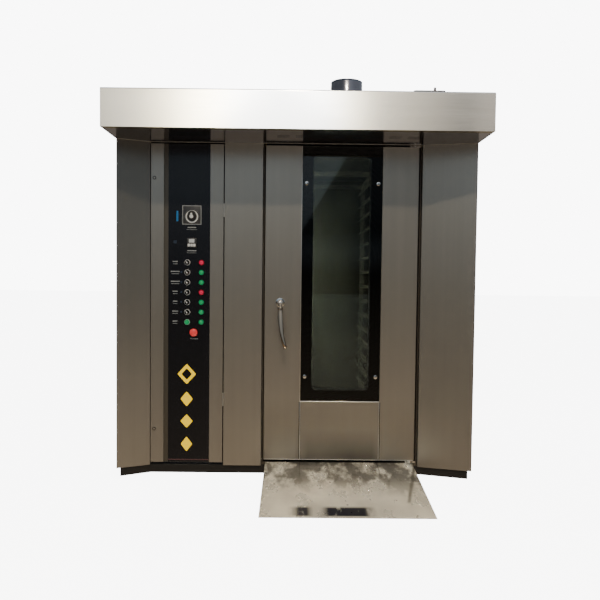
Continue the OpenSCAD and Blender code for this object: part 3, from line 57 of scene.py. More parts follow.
def makeCamera():
    yaw, pitch, roll = (math.radians(camera[k]) for k in ("yaw", "pitch", "roll"))
    ahead = Vector((math.sin(yaw) * math.cos(pitch), math.cos(yaw) * math.cos(pitch),
                    math.sin(pitch)))
    right = Vector((math.cos(yaw), -math.sin(yaw), 0))
    up = right.cross(ahead)
    rightRolled = right * math.cos(roll) + up * math.sin(roll)
    upRolled = up * math.cos(roll) - right * math.sin(roll)
    turn = Matrix((rightRolled, upRolled, -ahead)).transposed().to_4x4()
    data = bpy.data.cameras.new("camera")
    data.lens = camera["lens"]
    data.sensor_width = 36
    data.sensor_fit = "HORIZONTAL"
    eye = bpy.data.objects.new("camera", data)
    eye.matrix_world = Matrix.Translation(camera["place"]) @ turn
    scene.collection.objects.link(eye)
    scene.camera = eye

makeCamera()


# node graphs: short helpers that materials, the lamp and the world share
class Graph:
    def __init__(self, tree):
        self.tree = tree

    def node(self, kind, **values):
        made = self.tree.nodes.new(kind)
        for key, value in values.items():
            setattr(made, key, value)
        return made

    def link(self, source, target):
        self.tree.links.new(source, target)

    def math(self, operation, *values, clamp=False):
        made = self.node("ShaderNodeMath", operation=operation, use_clamp=clamp)
        for socket, value in zip(made.inputs, values):
            if isinstance(value, (int, float)):
                socket.default_value = value
            else:
                self.link(value, socket)
        return made.outputs["Value"]

    def span(self, value, low, high, fromLow=0.3, fromHigh=0.7, curve="LINEAR"):
        ranged = self.node("ShaderNodeMapRange", interpolation_type=curve)
        for key, number in (("From Min", fromLow), ("From Max", fromHigh), ("To Min", low),
                            ("To Max", high)):
            ranged.inputs[key].default_value = number
        self.link(value, ranged.inputs["Value"])
        return ranged.outputs["Result"]

    def axes(self, source="Object"):
        spot = self.node("ShaderNodeTexCoord")
        parts = self.node("ShaderNodeSeparateXYZ")
        self.link(spot.outputs[source], parts.inputs["Vector"])
        return parts.outputs

    def stops(self, value, places):
        bands = self.node("ShaderNodeValToRGB")
        for i, (place, colour) in enumerate(places):
            stop = (bands.color_ramp.elements[i] if i < 2
                    else bands.color_ramp.elements.new(1))
            stop.position = place
            stop.color = tuple(colour) + (1,)
        self.link(value, bands.inputs["Fac"])
        return bands.outputs["Color"]


class Shade(Graph):
    def __init__(self, name):
        self.made = bpy.data.materials.new(name)
        self.made.use_nodes = True
        super().__init__(self.made.node_tree)
        self.shader = self.tree.nodes["Principled BSDF"]

    def set(self, values):
        for key, value in values.items():
            self.shader.inputs[key].default_value = value

    def colour(self, tone, rough):
        self.link(tone, self.shader.inputs["Base Color"])
        self.link(rough, self.shader.inputs["Roughness"])

    def noise(self, stretch, detail=3.0, rough=0.5):
        spot = self.node("ShaderNodeTexCoord")
        mapping = self.node("ShaderNodeMapping")
        mapping.inputs["Scale"].default_value = stretch
        grain = self.node("ShaderNodeTexNoise")
        grain.inputs["Scale"].default_value = 1
        grain.inputs["Detail"].default_value = detail
        grain.inputs["Roughness"].default_value = rough
        self.link(spot.outputs["Object"], mapping.inputs["Vector"])
        self.link(mapping.outputs["Vector"], grain.inputs["Vector"])
        return grain.outputs["Fac"]

    def blend(self, factor, first, second):
        mixed = self.node("ShaderNodeMix", data_type="RGBA")
        for socket, value in ((6, first), (7, second)):
            if isinstance(value, tuple):
                mixed.inputs[socket].default_value = value + (1,)
            else:
                self.link(value, mixed.inputs[socket])
        self.link(factor, mixed.inputs[0])
        return mixed.outputs[2]

    def times(self, *factors):
        product = factors[0]
        for factor in factors[1:]:
            product = self.math("MULTIPLY", product, factor, clamp=True)
        return product

    # one between two places on an axis, fading over a short way at each
    def between(self, axis, low, high):
        return self.times(self.span(axis, 0, 1, *low), self.span(axis, 1, 0, *high))

    def bump(self, height, strength, distance=0.0005):
        rise = self.node("ShaderNodeBump")
        rise.inputs["Strength"].default_value = strength
        rise.inputs["Distance"].default_value = distance
        self.link(height, rise.inputs["Height"])
        self.link(rise.outputs["Normal"], self.shader.inputs["Normal"])


def darker(colour, part):
    return tuple(c * part for c in colour)


# satin sheet: fine grain along one axis, broad streaks, a little unevenness, and where asked
# painted shade
def brushedSteel(name, colour, rough, grain="Z", spread=0.015, streak=0.07, metallic=0.84,
                 footShade=None, endShade=None):
    shade = Shade(name)
    fine = {"Z": (700, 700, 9), "X": (9, 700, 700), "Y": (700, 9, 700)}[grain]
    broad = {"Z": (26, 26, 0.5), "X": (0.5, 26, 26), "Y": (26, 0.5, 26)}[grain]
    lines = shade.noise(fine, detail=2)
    bands = shade.noise(broad, detail=3)
    clouds = shade.noise((1.6, 1.6, 1.1), detail=4)
    tone = shade.blend(shade.span(bands, 0, 1), darker(colour, 1 - streak), colour)
    tone = shade.blend(shade.span(clouds, 0, 0.5), tone, darker(colour, 1 - 2.2 * streak))
    tone = shade.blend(shade.span(lines, 0, 0.2), tone, darker(colour, 1 - streak))
    axes = shade.axes()
    if endShade:                               # painted shade: the sheet darkens towards one end
        tone = shade.blend(shade.span(axes["Z"], 0, 1, *endShade["from"]), tone,
                           darker(colour, endShade["part"]))
    if footShade:                              # painted shade: a faint darkening low down, a deep one over its middle
        smear = shade.times(shade.span(axes["Z"], 1, 0, *footShade["smear"]),
                            shade.span(clouds, 0.85, 0.6))
        patch = shade.times(shade.span(axes["Z"], 1, 0, *footShade["low"]),
                            shade.between(axes["X"], footShade["left"], footShade["right"]),
                            shade.span(clouds, 1, 0.6))
        tone = shade.blend(smear, tone, darker(colour, footShade["lowShadeDepth"]))
        tone = shade.blend(patch, tone, darker(colour, footShade["depth"]))
    shade.colour(tone, shade.span(lines, rough - spread, rough + spread))
    shade.bump(lines, 0.02, 0.0002)
    shade.set({"Metallic": metallic, "Anisotropic": 0.35,
               "Anisotropic Rotation": 0.25 if grain == "X" else 0})
    return shade.made


# bright metal with faint smears
def polished(name, colour, rough, smear=0.05):
    shade = Shade(name)
    smears = shade.noise((9, 9, 5), detail=5)
    tone = shade.blend(shade.span(smears, 0, 1), colour, darker(colour, 0.9))
    shade.colour(tone, shade.span(smears, rough, rough + smear))
    shade.set({"Metallic": 1.0})
    return shade.made


# painted, moulded and rubber surfaces: mottled colour with a fine bump
def coated(name, colour, rough, scale=60, strength=0.15, vary=0.18, distance=0.0004,
           metallic=0.0, specular=0.5):
    shade = Shade(name)
    mottle = shade.noise((scale, scale, scale), detail=4)
    wear = shade.noise((3, 3, 3), detail=5)
    tone = shade.blend(shade.span(mottle, 0, 1), darker(colour, 1 - vary), colour)
    tone = shade.blend(shade.span(wear, 0, 0.5), tone, darker(colour, 1 - 1.5 * vary))
    shade.colour(tone, shade.span(wear, rough * 0.9, min(1, rough * 1.15)))
    shade.bump(mottle, strength, distance)
    shade.set({"Metallic": metallic, "Specular IOR Level": specular})
    return shade.made


# a lamp's lens, a push button or a print: coloured, glossy, with a slight glow in its depth; on
# the stop button and the printed lozenges the glow is painted light
def glowingPlastic(name, colour, glow, coat=0.6):
    shade = Shade(name)
    depth = shade.noise((500, 500, 500), detail=2)
    tone = shade.blend(shade.span(depth, 0, 1), darker(colour, 0.75), colour)
    shade.colour(tone, shade.span(depth, 0.16, 0.26))
    shade.link(tone, shade.shader.inputs["Emission Color"])
    shade.set({"Emission Strength": glow, "Coat Weight": coat, "Coat Roughness": 0.04})
    return shade.made


def tintedGlass(name, colour, rough):
    shade = Shade(name)
    film = shade.noise((7, 7, 4), detail=5)
    shade.colour(shade.blend(shade.span(film, 0, 1), colour, darker(colour, 0.85)),
                 shade.span(film, rough, rough + 0.012))
    shade.set({"Transmission Weight": 1.0, "IOR": 1.5})
    return shade.made


# the ramp's sheet: light, blotched near the door, with painted reflections of the door's gap and
# seams, and dark near its toe; places in metres
ramp = {"blotched": (-0.82, -0.60),
        "darkPatchLeft": (-0.033, 0.023), "darkPatchRight": (0.307, 0.363),
        "darkPatchFront": (-1.016, -1.004), "darkPatchBack": (-0.937, -0.913),
        "unmarkedLeft": (0.055, 0.085), "unmarkedRight": (0.11, 0.15),
        "gapReflectionX": 0.519, "gapReflectionY": -0.862, "lean": 0.239, "gapReflectionToe": (-0.885, -0.865),
        "seamReflections": (0.026, 0.427), "seamReflectionToe": (-0.62, -0.56)}

def trampledSteel(name, colour):
    shade = Shade(name)
    axes = shade.axes()
    across, deep = axes["X"], axes["Y"]
    nearDoor = shade.span(deep, 0, 1, *ramp["blotched"])
    smears = shade.noise((11, 6, 7), detail=4, rough=0.55)
    streaks = shade.noise((19, 6, 7), detail=5, rough=0.6)
    fine = shade.noise((60, 40, 40), detail=4)
    clouds = shade.noise((6, 4, 3), detail=3)
    blotch = shade.times(shade.span(smears, 0, 1, 0.50, 0.56), nearDoor)
    pale = shade.times(shade.span(smears, 1, 0, 0.45, 0.49), nearDoor)
    drips = shade.times(shade.span(streaks, 0, 0.8, 0.52, 0.60), nearDoor)
    unmarked = shade.between(across, ramp["unmarkedLeft"], ramp["unmarkedRight"])
    # a dark patch near the toe, with a strip inside it left out
    darkPatch = shade.times(shade.between(across, ramp["darkPatchLeft"], ramp["darkPatchRight"]),
                       shade.between(deep, ramp["darkPatchFront"], ramp["darkPatchBack"]),
                       shade.span(streaks, 1, 0.35, 0.56, 0.66), shade.span(unmarked, 1, 0, 0, 1))
    # painted reflections: a dark line where the door's right gap shows in the sheet, and two faint
    # ones where the door's panel seams show
    slanted = shade.math("MULTIPLY_ADD", deep, -ramp["lean"],
                         ramp["lean"] * ramp["gapReflectionY"] - ramp["gapReflectionX"])
    away = shade.math("ABSOLUTE", shade.math("ADD", across, slanted))
    reflectedLines = shade.times(shade.span(away, 1, 0, 0.003, 0.013),
                       shade.span(deep, 0, 1, *ramp["gapReflectionToe"]), shade.span(smears, 0.9, 0.45))
    for middle in ramp["seamReflections"]:
        beside = shade.math("ABSOLUTE", shade.math("SUBTRACT", across, middle))
        faint = shade.times(shade.span(beside, 0.6, 0, 0.001, 0.005),
                            shade.span(deep, 0, 1, *ramp["seamReflectionToe"]))
        reflectedLines = shade.math("MAXIMUM", reflectedLines, faint)
    tone = shade.blend(shade.span(clouds, 0, 0.6, 0.36, 0.64), colour, darker(colour, 0.62))
    tone = shade.blend(shade.span(deep, 0, 0.75, *ramp["blotched"]), tone, darker(colour, 0.5))
    for share, mark in ((pale, colour), (blotch, (0.16, 0.158, 0.145)),
                        (drips, (0.10, 0.096, 0.09)),
                        (shade.span(fine, 0, 0.1), darker(colour, 0.6)),
                        (reflectedLines, (0.045, 0.04, 0.035)), (darkPatch, (0.008, 0.009, 0.018))):
        tone = shade.blend(share, tone, mark)
    shade.colour(tone, shade.span(smears, 0.22, 0.40))
    shade.set({"Metallic": 0.70})
    return shade.made


finish = {
    "satin_steel": brushedSteel("satinSteel", (0.44, 0.41, 0.36), 0.30),
    "black_steel": coated("plinthPaint", (0.013, 0.012, 0.011), 0.42, scale=90),
    "door_filling": coated("doorFilling", (0.07, 0.075, 0.085), 0.8, scale=120, strength=0.4),
    "mineral_wool": coated("mineralWool", (0.5, 0.43, 0.22), 0.95, scale=220, strength=0.9,
                           distance=0.003),
    "sooty_steel": polished("flueSteel", (0.22, 0.22, 0.25), 0.17),
    "heater_steel": coated("heaterSteel", (0.16, 0.13, 0.11), 0.5, scale=40, metallic=0.8),
    "motor_paint": coated("motorPaint", (0.06, 0.10, 0.13), 0.42, scale=150),
    "chrome": polished("chrome", (0.82, 0.82, 0.80), 0.07),
    "gasket_rubber": coated("gasketRubber", (0.025, 0.022, 0.022), 0.7, scale=140, strength=0.3),
    "door_glass": tintedGlass("doorGlass", (0.46, 0.50, 0.44), 0.003),
    "panel_black": coated("panelBlack", (0.006, 0.0062, 0.009), 0.2, scale=30, strength=0.03,
                          vary=0.2, specular=0.42),
    "black_plastic": coated("blackPlastic", (0.018, 0.018, 0.019), 0.38, scale=300),
    "lamp_green": glowingPlastic("lampGreen", (0.0, 0.30, 0.09), 0.5),
    # the stop button is no lamp: its glow is painted light
    "estop_red": glowingPlastic("glowingStopRed", (0.85, 0.05, 0.05), 0.3),
    "caster_rubber": coated("casterRubber", (0.04, 0.04, 0.042), 0.6, scale=200, strength=0.3),
}
lampRed = glowingPlastic("lampRed", (0.55, 0.006, 0.05), 0.7)
selectorBlack = coated("selectorBlack", (0.004, 0.004, 0.005), 0.45, scale=300, specular=0.25)
# the door's steel is darkened low down and over its lower panel: painted shade
doorSteel = brushedSteel("doorSteel", (0.455, 0.42, 0.365), 0.29,
                         footShade={"low": (0.10, 0.24), "left": (0.0, 0.07), "right": (0.40, 0.46),
                                "depth": 0.16, "smear": (0.07, 0.40), "lowShadeDepth": 0.45})
# the left column's steel darkens upwards: painted shade
columnSteel = brushedSteel("columnSteel", (0.44, 0.41, 0.36), 0.30,
                           endShade={"from": (0.5, 1.5), "part": 0.42})
shadedSteel = brushedSteel("shadedSteel", (0.16, 0.145, 0.12), 0.42)
# a near-black copy of the steel for faces that lie in shade: painted shadow
paintedShadowSteel = brushedSteel("paintedShadowSteel", (0.035, 0.03, 0.026), 0.4, grain="X")
hoodSteel = brushedSteel("hoodSteel", (0.70, 0.68, 0.64), 0.17, grain="X", spread=0.04,
                         streak=0.06, metallic=1.0)
# a darker copy of the hood's steel for the lower faces of its lip: painted shade
lipShadeSteel = brushedSteel("lipShadeSteel", (0.20, 0.19, 0.15), 0.25, grain="X")
soffitSteel = brushedSteel("soffitSteel", (0.29, 0.34, 0.50), 0.15, grain="X", spread=0.03,
                           metallic=1.0)
# a lighter copy of the steel for the hinge knuckles: painted highlight
knuckleHighlightSteel = brushedSteel("knuckleHighlightSteel", (0.64, 0.62, 0.57), 0.3)
leverSteel = polished("leverSteel", (0.43, 0.355, 0.275), 0.12)
# bright chrome for the hub, and also for the painted highlight strips along the door's edges
hubAndHighlightSteel = polished("hubAndHighlightSteel", (0.95, 0.92, 0.86), 0.28)
fanPaint = coated("fanPaint", (0.045, 0.018, 0.016), 0.5, scale=150)
lockSteel = polished("lockSteel", (0.09, 0.09, 0.09), 0.25)
sideSteel = brushedSteel("sideSteel", (0.44, 0.41, 0.36), 0.34)
rackSteel = brushedSteel("rackSteel", (0.5, 0.48, 0.45), 0.3, spread=0.05)
wornSteel = brushedSteel("wornSteel", (0.27, 0.255, 0.21), 0.34, spread=0.05)
chamberSteel = brushedSteel("chamberSteel", (0.155, 0.148, 0.118), 0.38, spread=0.08, streak=0.25)
rampSteel = trampledSteel("rampSteel", (0.80, 0.77, 0.67))
printWhite = coated("printWhite", (0.62, 0.64, 0.64), 0.5, scale=400, strength=0.02)
printGrey = coated("printGrey", (0.24, 0.25, 0.25), 0.5, scale=400, strength=0.02)
# the lozenges are print: their glow is painted light
glowingPrintYellow = glowingPlastic("glowingPrintYellow", (0.97, 0.63, 0.0), 0.75, coat=0.0)
printBlue = coated("printBlue", (0.008, 0.16, 0.42), 0.45, scale=200, strength=0.02)
printDim = coated("printDim", (0.008, 0.022, 0.05), 0.5, scale=200, strength=0.02)
printBrown = coated("printBrown", (0.12, 0.05, 0.05), 0.5, scale=200, strength=0.02)
pointerWhite = coated("pointerWhite", (0.75, 0.75, 0.72), 0.35, scale=300, strength=0.05)
dialGrey = coated("dialGrey", (0.032, 0.033, 0.036), 0.35, scale=200, strength=0.05)
ringSilver = coated("ringSilver", (0.86, 0.86, 0.84), 0.3, scale=300, strength=0.05, metallic=0.15)
startRim = glowingPlastic("startRim", (0.20, 0.46, 0.29), 0.12)
lampRimGreen = glowingPlastic("lampRimGreen", (0.008, 0.20, 0.085), 0.12)
lampRimRed = glowingPlastic("lampRimRed", (0.30, 0.014, 0.022), 0.12)
print("materials made")


# mesh helpers, in mm from the front plane
def roundOff(bm, edges, offset, segments, clamp=True):
    bmesh.ops.bevel(bm, geom=edges, offset=offset, offset_type="OFFSET", segments=segments,
                    profile=0.5, affect="EDGES", clamp_overlap=clamp, material=-1)


def addBlock(bm, low, high, edge=0.0, segments=2):
    made = bmesh.ops.create_cube(bm, size=1)["verts"]
    bmesh.ops.scale(bm, vec=[h - l for l, h in zip(low, high)], verts=made)
    bmesh.ops.translate(bm, vec=[(h + l) / 2 for l, h in zip(low, high)], verts=made)
    if edge:
        roundOff(bm, list({e for v in made for e in v.link_edges}), edge, segments, clamp=False)


def addTurned(bm, profile, centre, axis="Y", steps=48, closed=False):
    known = set(bm.verts)
    along = {"Y": Vector((0, 1, 0)), "Z": Vector((0, 0, 1))}[axis]
    aside = {"Y": Vector((0, 0, 1)), "Z": Vector((1, 0, 0))}[axis]
    centre = Vector(centre)
    points = [bm.verts.new(centre + aside * r + along * a) for r, a in profile]
    pairs = list(zip(points, points[1:])) + ([(points[-1], points[0])] if closed else [])
    lines = [bm.edges.new(pair) for pair in pairs]
    bmesh.ops.spin(bm, geom=points + lines, cent=centre, axis=along, dvec=(0, 0, 0),
                   angle=2 * math.pi, steps=steps, use_merge=True, use_duplicate=False)
    fresh = [v for v in bm.verts if v not in known]
    bmesh.ops.remove_doubles(bm, verts=fresh, dist=0.001)


# a round bar through sections of (point, direction, half width, half depth)
def addSwept(bm, sections, sides=28):
    last = None
    for point, ahead, wide, deep in sections:
        turn = Vector(ahead).to_track_quat("Z", "Y").to_matrix().to_4x4()
        shape = Matrix.Translation(point) @ turn @ Matrix.Diagonal((wide, deep, 1, 1))
        if last is None:
            ring = bmesh.ops.create_circle(bm, cap_ends=False, radius=1, segments=sides,
                                           matrix=shape)["verts"]
            first = ring
        else:
            rim = [e for e in bm.edges if e.verts[0] in ring and e.verts[1] in ring]
            made = bmesh.ops.extrude_edge_only(bm, edges=rim)["geom"]
            ring = [g for g in made if isinstance(g, bmesh.types.BMVert)]
            bmesh.ops.transform(bm, matrix=shape @ last.inverted(), verts=ring)
        ring = set(ring)
        last = shape
    for loop in (set(first), ring):
        bmesh.ops.contextual_create(
            bm, geom=[e for e in bm.edges if e.verts[0] in loop and e.verts[1] in loop])


def finishPiece(bm, name, material, body, slotName, replaced=(), sharp=35, inMm=True):
    if inMm:
        bm.transform(toWhole)
    bmesh.ops.recalc_face_normals(bm, faces=bm.faces)
    mesh = bpy.data.meshes.new(name)
    bm.to_mesh(mesh)
    bm.free()
    mesh.shade_smooth()
    mesh.set_sharp_from_angle(angle=math.radians(sharp))
    mesh.materials.append(material)
    piece = bpy.data.objects.new(name, mesh)
    scene.collection.objects.link(piece)
    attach(piece, body)
    if replaced:
        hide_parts(*replaced)
    return piece


# a piece that takes a solid's place, on the same body
def dress(bm, name, material, node, **more):
    return finishPiece(bm, name, material, bodyOf[node], slotOf[node], (node,), **more)


# folded sheets get rounded folds and broken rims on a merged copy of the solid
sheetEdges = {"fold": 0.0018, "rim": 0.0005, "foldWidth": 0.006, "hem": 0.008}

def roundedSheet(node, name, material, fold=None, rim=None, others=(), choose=None, hem=None):
    fold = sheetEdges["fold"] if fold is None else fold
    rim = sheetEdges["rim"] if rim is None else rim
    bm = bmesh.new()
    bm.from_mesh(frame["nodes"][node].data)
    bmesh.ops.remove_doubles(bm, verts=bm.verts, dist=0.00001)
    bmesh.ops.dissolve_limit(bm, angle_limit=math.radians(0.8), verts=bm.verts, edges=bm.edges,
                             use_dissolve_boundaries=False)
    if hem:                                # the long edge that is rolled over
        rolled = [e for e in bm.edges if all(hem(v.co) for v in e.verts)
                  and abs(e.verts[0].co.x - e.verts[1].co.x) > 0.2]
        roundOff(bm, rolled, sheetEdges["hem"], 6)
    def wide(face, edge):
        length = max(edge.calc_length(), 0.001)
        return face.calc_area() / length > sheetEdges["foldWidth"]
    bent = [e for e in bm.edges if len(e.link_faces) == 2
            and e.calc_face_angle(0) > math.radians(30)]
    folds = [e for e in bent if e.calc_length() > 0.05 and all(wide(f, e) for f in e.link_faces)]
    if fold:
        roundOff(bm, folds, fold, 3)
    rims = [e for e in bm.edges if len(e.link_faces) == 2
            and e.calc_face_angle(0) > math.radians(50)]
    if rim:
        roundOff(bm, rims, rim, 1)
    if choose:                             # some faces take another finish by their place
        for face in bm.faces:
            x, y, z = face.calc_center_median() * 1000
            face.material_index = choose(x, y - frontY * 1000, z)
    piece = dress(bm, name, material, node, sharp=34, inMm=False)
    for other in others:
        piece.data.materials.append(other)
    weighted = piece.modifiers.new("evenFaces", "WEIGHTED_NORMAL")
    weighted.keep_sharp = True
    return piece


for node, name, material in (
        ("left_side_panel", "leftSidePanel", sideSteel),
        ("right_side_panel", "rightSidePanel", sideSteel),
        ("back_panel", "backPanel", sideSteel),
        ("roof_panel", "roofPanel", sideSteel),
        ("front_header", "frontHeader", finish["satin_steel"]),
        ("door_skin", "doorSkin", doorSteel),
        ("base_frame", "baseFrame", finish["black_steel"]),
        ("hood_soffit", "hoodSoffit", soffitSteel),
        ("service_bay", "serviceBay", rackSteel)):
    roundedSheet(node, name, material)
# the lower faces of the hood's lip take the darker copy: painted shade
hood = roundedSheet("hood_shell", "hoodShell", hoodSteel, fold=0.0019, others=(lipShadeSteel,),
                    choose=lambda x, y, z: int(z < 1699.5),
                    hem=lambda co: co.y < -0.76 and co.z > 1.872)
# the frame's faces under the door take the near-black steel of painted shadow, and its front faces
# the shaded copy of the steel: painted shade
roundedSheet("door_frame", "doorFrame", finish["satin_steel"], others=(paintedShadowSteel, shadedSteel),
             choose=lambda x, y, z: 1 if z < 62.5 else 2 if y < 84 else 0)
# the columns' top edges lie in the shade of the hood
for node, name, material in (
        ("left_front_column", "leftFrontColumn", columnSteel),
        ("right_front_column", "rightFrontColumn", finish["satin_steel"])):
    roundedSheet(node, name, material, others=(paintedShadowSteel,),
                 choose=lambda x, y, z: int(z > 1695.5))
# painted shade darkens both sides of the gap beside the control door, and a painted highlight
# brightens its hinge knuckles
roundedSheet("control_door_shell", "controlDoorShell", finish["satin_steel"],
             others=(shadedSteel, paintedShadowSteel, knuckleHighlightSteel),
             choose=lambda x, y, z: (3 if x > -377 and y < -2.2 else 2 if x > -375.4 and y > -0.3
                                     else int(3 < y < 9)))
# the centre panel's side of the same gap: painted shade; its hinge knuckles: painted highlight
roundedSheet("front_centre_panel", "frontCentrePanel", finish["satin_steel"],
             others=(paintedShadowSteel, knuckleHighlightSteel),
             choose=lambda x, y, z: (2 if x < -366 and y < -2.2
                                     else int(x < -368.6 and y > -0.3)))
entryRamp = roundedSheet("entry_ramp", "entryRamp", rampSteel)


# the header's return: a flat sheet that closes the slit above both doors, in the near-black steel
# of painted shadow
headerReturn = {"low": 1697.2, "high": 1698.6, "front": 2.5,
                "spans": ((-745, -372, 43), (-157, 626, 84))}

def makeHeaderReturn():
    sheet = bmesh.new()
    for left, right, back in headerReturn["spans"]:
        addBlock(sheet, (left, headerReturn["front"], headerReturn["low"]),
                 (right, back, headerReturn["high"]), edge=0.4)
    finishPiece(sheet, "headerReturn", paintedShadowSteel, "cabinet", "satin_steel")

makeHeaderReturn()
print("sheets rounded")


# control panel: the black sheet with its printed marks
panel = {"left": -654, "right": -442.5, "face": 2, "print": 0.15, "selectorX": -557,
         "lampX": -485, "rowLow": 785, "rowStep": 50.8, "labelX": -619,
         "labelWidths": (24, 30, 24, 26, 46, 44, 26),          # from the lowest row up
         "captions": ((-535, 1268, 44, 6), (-535, 1257, 56, 2), (-535, 1150, 46, 6),
                      (-535, 1139, 50, 2), (-521, 699, 40, 4)),
         "lozengeX": -558, "lozenges": ((517, 96, 106, 0.56), (388, 64, 78, 0),
                                        (273, 64, 72, 0), (154, 60, 78, 0))}
rowHeights = [panel["rowLow"] + i * panel["rowStep"] for i in range(7)]

def makePanel():
    roundedSheet("control_panel", "controlPanel", finish["panel_black"], fold=0, rim=0.0004)
    back, front = panel["face"] + 0.05, panel["face"] - panel["print"]
    def printMarks(name, material, boxes):
        marks = bmesh.new()
        for x0, z0, x1, z1 in boxes:
            addBlock(marks, (x0, front, z0), (x1, back, z1))
        finishPiece(marks, name, material, "control_door", "panel_black")
    x = panel["labelX"]
    bars = []                              # two plain bars beside each row, then the captions
    for z, wide in reversed(list(zip(rowHeights, panel["labelWidths"]))):
        bars += [(x - wide / 2, z + 1.5, x + wide / 2, z + 7.5),
                 (x - wide * 0.45, z - 9, x + wide * 0.45, z - 6)]
    bars += [(x - wide / 2, z - tall / 2, x + wide / 2, z + tall / 2)
             for x, z, wide, tall in panel["captions"]]
    printMarks("panelMarks", printGrey, bars)
    printMarks("panelBlueBar", printBlue, [(-614, 1299, -604, 1352)])
    printMarks("panelDimMarks", printDim, [(-592, z - 4, -583, z + 6) for z in rowHeights[1:6]]
               + [(-628, 1186, -612, 1202)])
    yellow = bmesh.new()                   # four printed lozenges down the panel's lower half, with a painted glow
    for z, wide, tall, hollow in panel["lozenges"]:
        fresh = bmesh.new()
        addTurned(fresh, [(hollow, 0), (1, 0), (1, 1), (hollow, 1)], (0, 0, 0), steps=4,
                  closed=bool(hollow))
        bmesh.ops.scale(fresh, vec=(wide / 2, front - back, tall / 2), verts=fresh.verts)
        upright = [e for e in fresh.edges if abs(e.verts[0].co.y - e.verts[1].co.y) > 0.05
                   and Vector((e.verts[0].co.x, e.verts[0].co.z)).length > 3]
        roundOff(fresh, upright, 6, 4)
        bmesh.ops.translate(fresh, vec=(panel["lozengeX"], back, z), verts=fresh.verts)
        mesh = bpy.data.meshes.new("lozenge")
        fresh.to_mesh(mesh)
        fresh.free()
        yellow.from_mesh(mesh)
        bpy.data.meshes.remove(mesh)
    finishPiece(yellow, "panelLozenges", glowingPrintYellow, "control_door", "panel_black")
    printMarks("panelFootLine", printBrown, [(panel["left"] + 1, 70, panel["right"] - 1.5, 75)])

makePanel()


# selectors, lamps, start button and emergency stop
device = {"bezelR": 15, "lampR": 14, "bezelTop": -4, "holeR": 11, "barrel": 40, "boreR": 8.05,
          "tilt": 35, "stop": (-521, 0, 733)}

def makeDevices():
    top, foot, bore = device["bezelTop"], panel["face"], device["boreR"]
    hole, barrel = device["holeR"], device["barrel"]
    def addBezel(bm, centre, r=device["bezelR"]):
        addTurned(bm, [(bore, barrel), (bore, top + 3), (bore + 0.6, top + 2.4),
                       (r - 2.0, top + 2.4), (r - 1.9, top), (r - 1, top + 0.9), (r, top + 2.6),
                       (r, foot), (hole, foot), (hole, 8), (hole + 3, 8), (hole + 3, 14),
                       (hole, 14), (hole, barrel)], centre, closed=True)
    def ofRow(i, column="selectorX"):
        return panel[column], 0, rowHeights[i]
    for name, material, centres in (
            ("startBezel", startRim, [ofRow(0)]),
            ("selectorBezels", ringSilver, [ofRow(i) for i in range(1, 7)]),
            ("stopBezel", finish["black_plastic"], [device["stop"]])):
        ring = bmesh.new()
        for centre in centres:
            addBezel(ring, centre)
        dress(ring, name, material, "device_bezels")
    lens = [(0, -13.2), (3, -13), (6.5, -11.9), (9.2, -10.1), (10.6, -8), (11, -6.5), (11, -4.05),
            (8, -4.05), (8, 38), (0, 38)]
    for name, rows, material, rimFinish in (
            ("Green", (0, 1, 2, 4, 5), finish["lamp_green"], lampRimGreen),
            ("Red", (3, 6), lampRed, lampRimRed)):
        lamps, rims = bmesh.new(), bmesh.new()
        for i in rows:
            addTurned(lamps, lens, ofRow(i, "lampX"))
            addBezel(rims, ofRow(i, "lampX"), device["lampR"])
        dress(lamps, "lamps" + name, material, "lamp_lenses")
        dress(rims, "lampRims" + name, rimFinish, "device_bezels")
    tilted = Matrix.Rotation(math.radians(-device["tilt"]), 3, "Y")
    for number in range(1, 7):
        centre = ofRow(7 - number)
        base = bmesh.new()
        addTurned(base, [(0, 38), (8, 38), (8, -4.3), (12.4, -4.3), (12.4, -8.6), (11.2, -10.3),
                         (0, -10.3)], centre)
        grip = bmesh.new()
        addBlock(grip, (-3.6, -20, -11.6), (3.6, -9.5, 11.6), edge=1.6, segments=3)
        pointer = bmesh.new()
        addBlock(pointer, (-1.3, -20.3, 0.5), (1.3, -19.6, 11.3), edge=0.25)
        addBlock(pointer, (-3.1, -20.35, -5.4), (3.1, -19.6, 1.8), edge=0.3)
        for bm in (grip, pointer):
            bmesh.ops.rotate(bm, cent=(0, 0, 0), matrix=tilted, verts=bm.verts)
            bmesh.ops.translate(bm, vec=centre, verts=bm.verts)
        for bm, name, material in ((base, "selectorBase%d", selectorBlack),
                                   (grip, "selectorGrip%d", selectorBlack),
                                   (pointer, "selectorPointer%d", pointerWhite)):
            dress(bm, name % number, material, "selector_%d" % number)
    button = bmesh.new()
    addTurned(button, [(0, 34), (8, 34), (8, -7.3), (11, -7.3), (11, -10.4), (10.2, -11.3),
                       (8.4, -11.1), (0, -10.7)], ofRow(0))
    dress(button, "startButton", finish["lamp_green"], "start_button")
    stop = bmesh.new()
    addTurned(stop, [(0, 30), (8, 30), (8, -13.5), (15, -14.6), (18.6, -16.6), (20, -19.2),
                     (20, -21.4), (18.8, -24), (16.5, -26), (13.5, -27.4), (9, -28.6),
                     (4, -29.2), (0, -29.3)], device["stop"], steps=64)
    dress(stop, "stopButton", finish["estop_red"], "estop_button")

makeDevices()


# thermostat: square plate, printed scale, bright ring and a knob with a pointer
dial = {"x": -535, "z": 1331, "plate": 98, "frame": 4.5, "ringZ": 1323, "ringR": 32,
        "marks": 25, "sweep": 270}

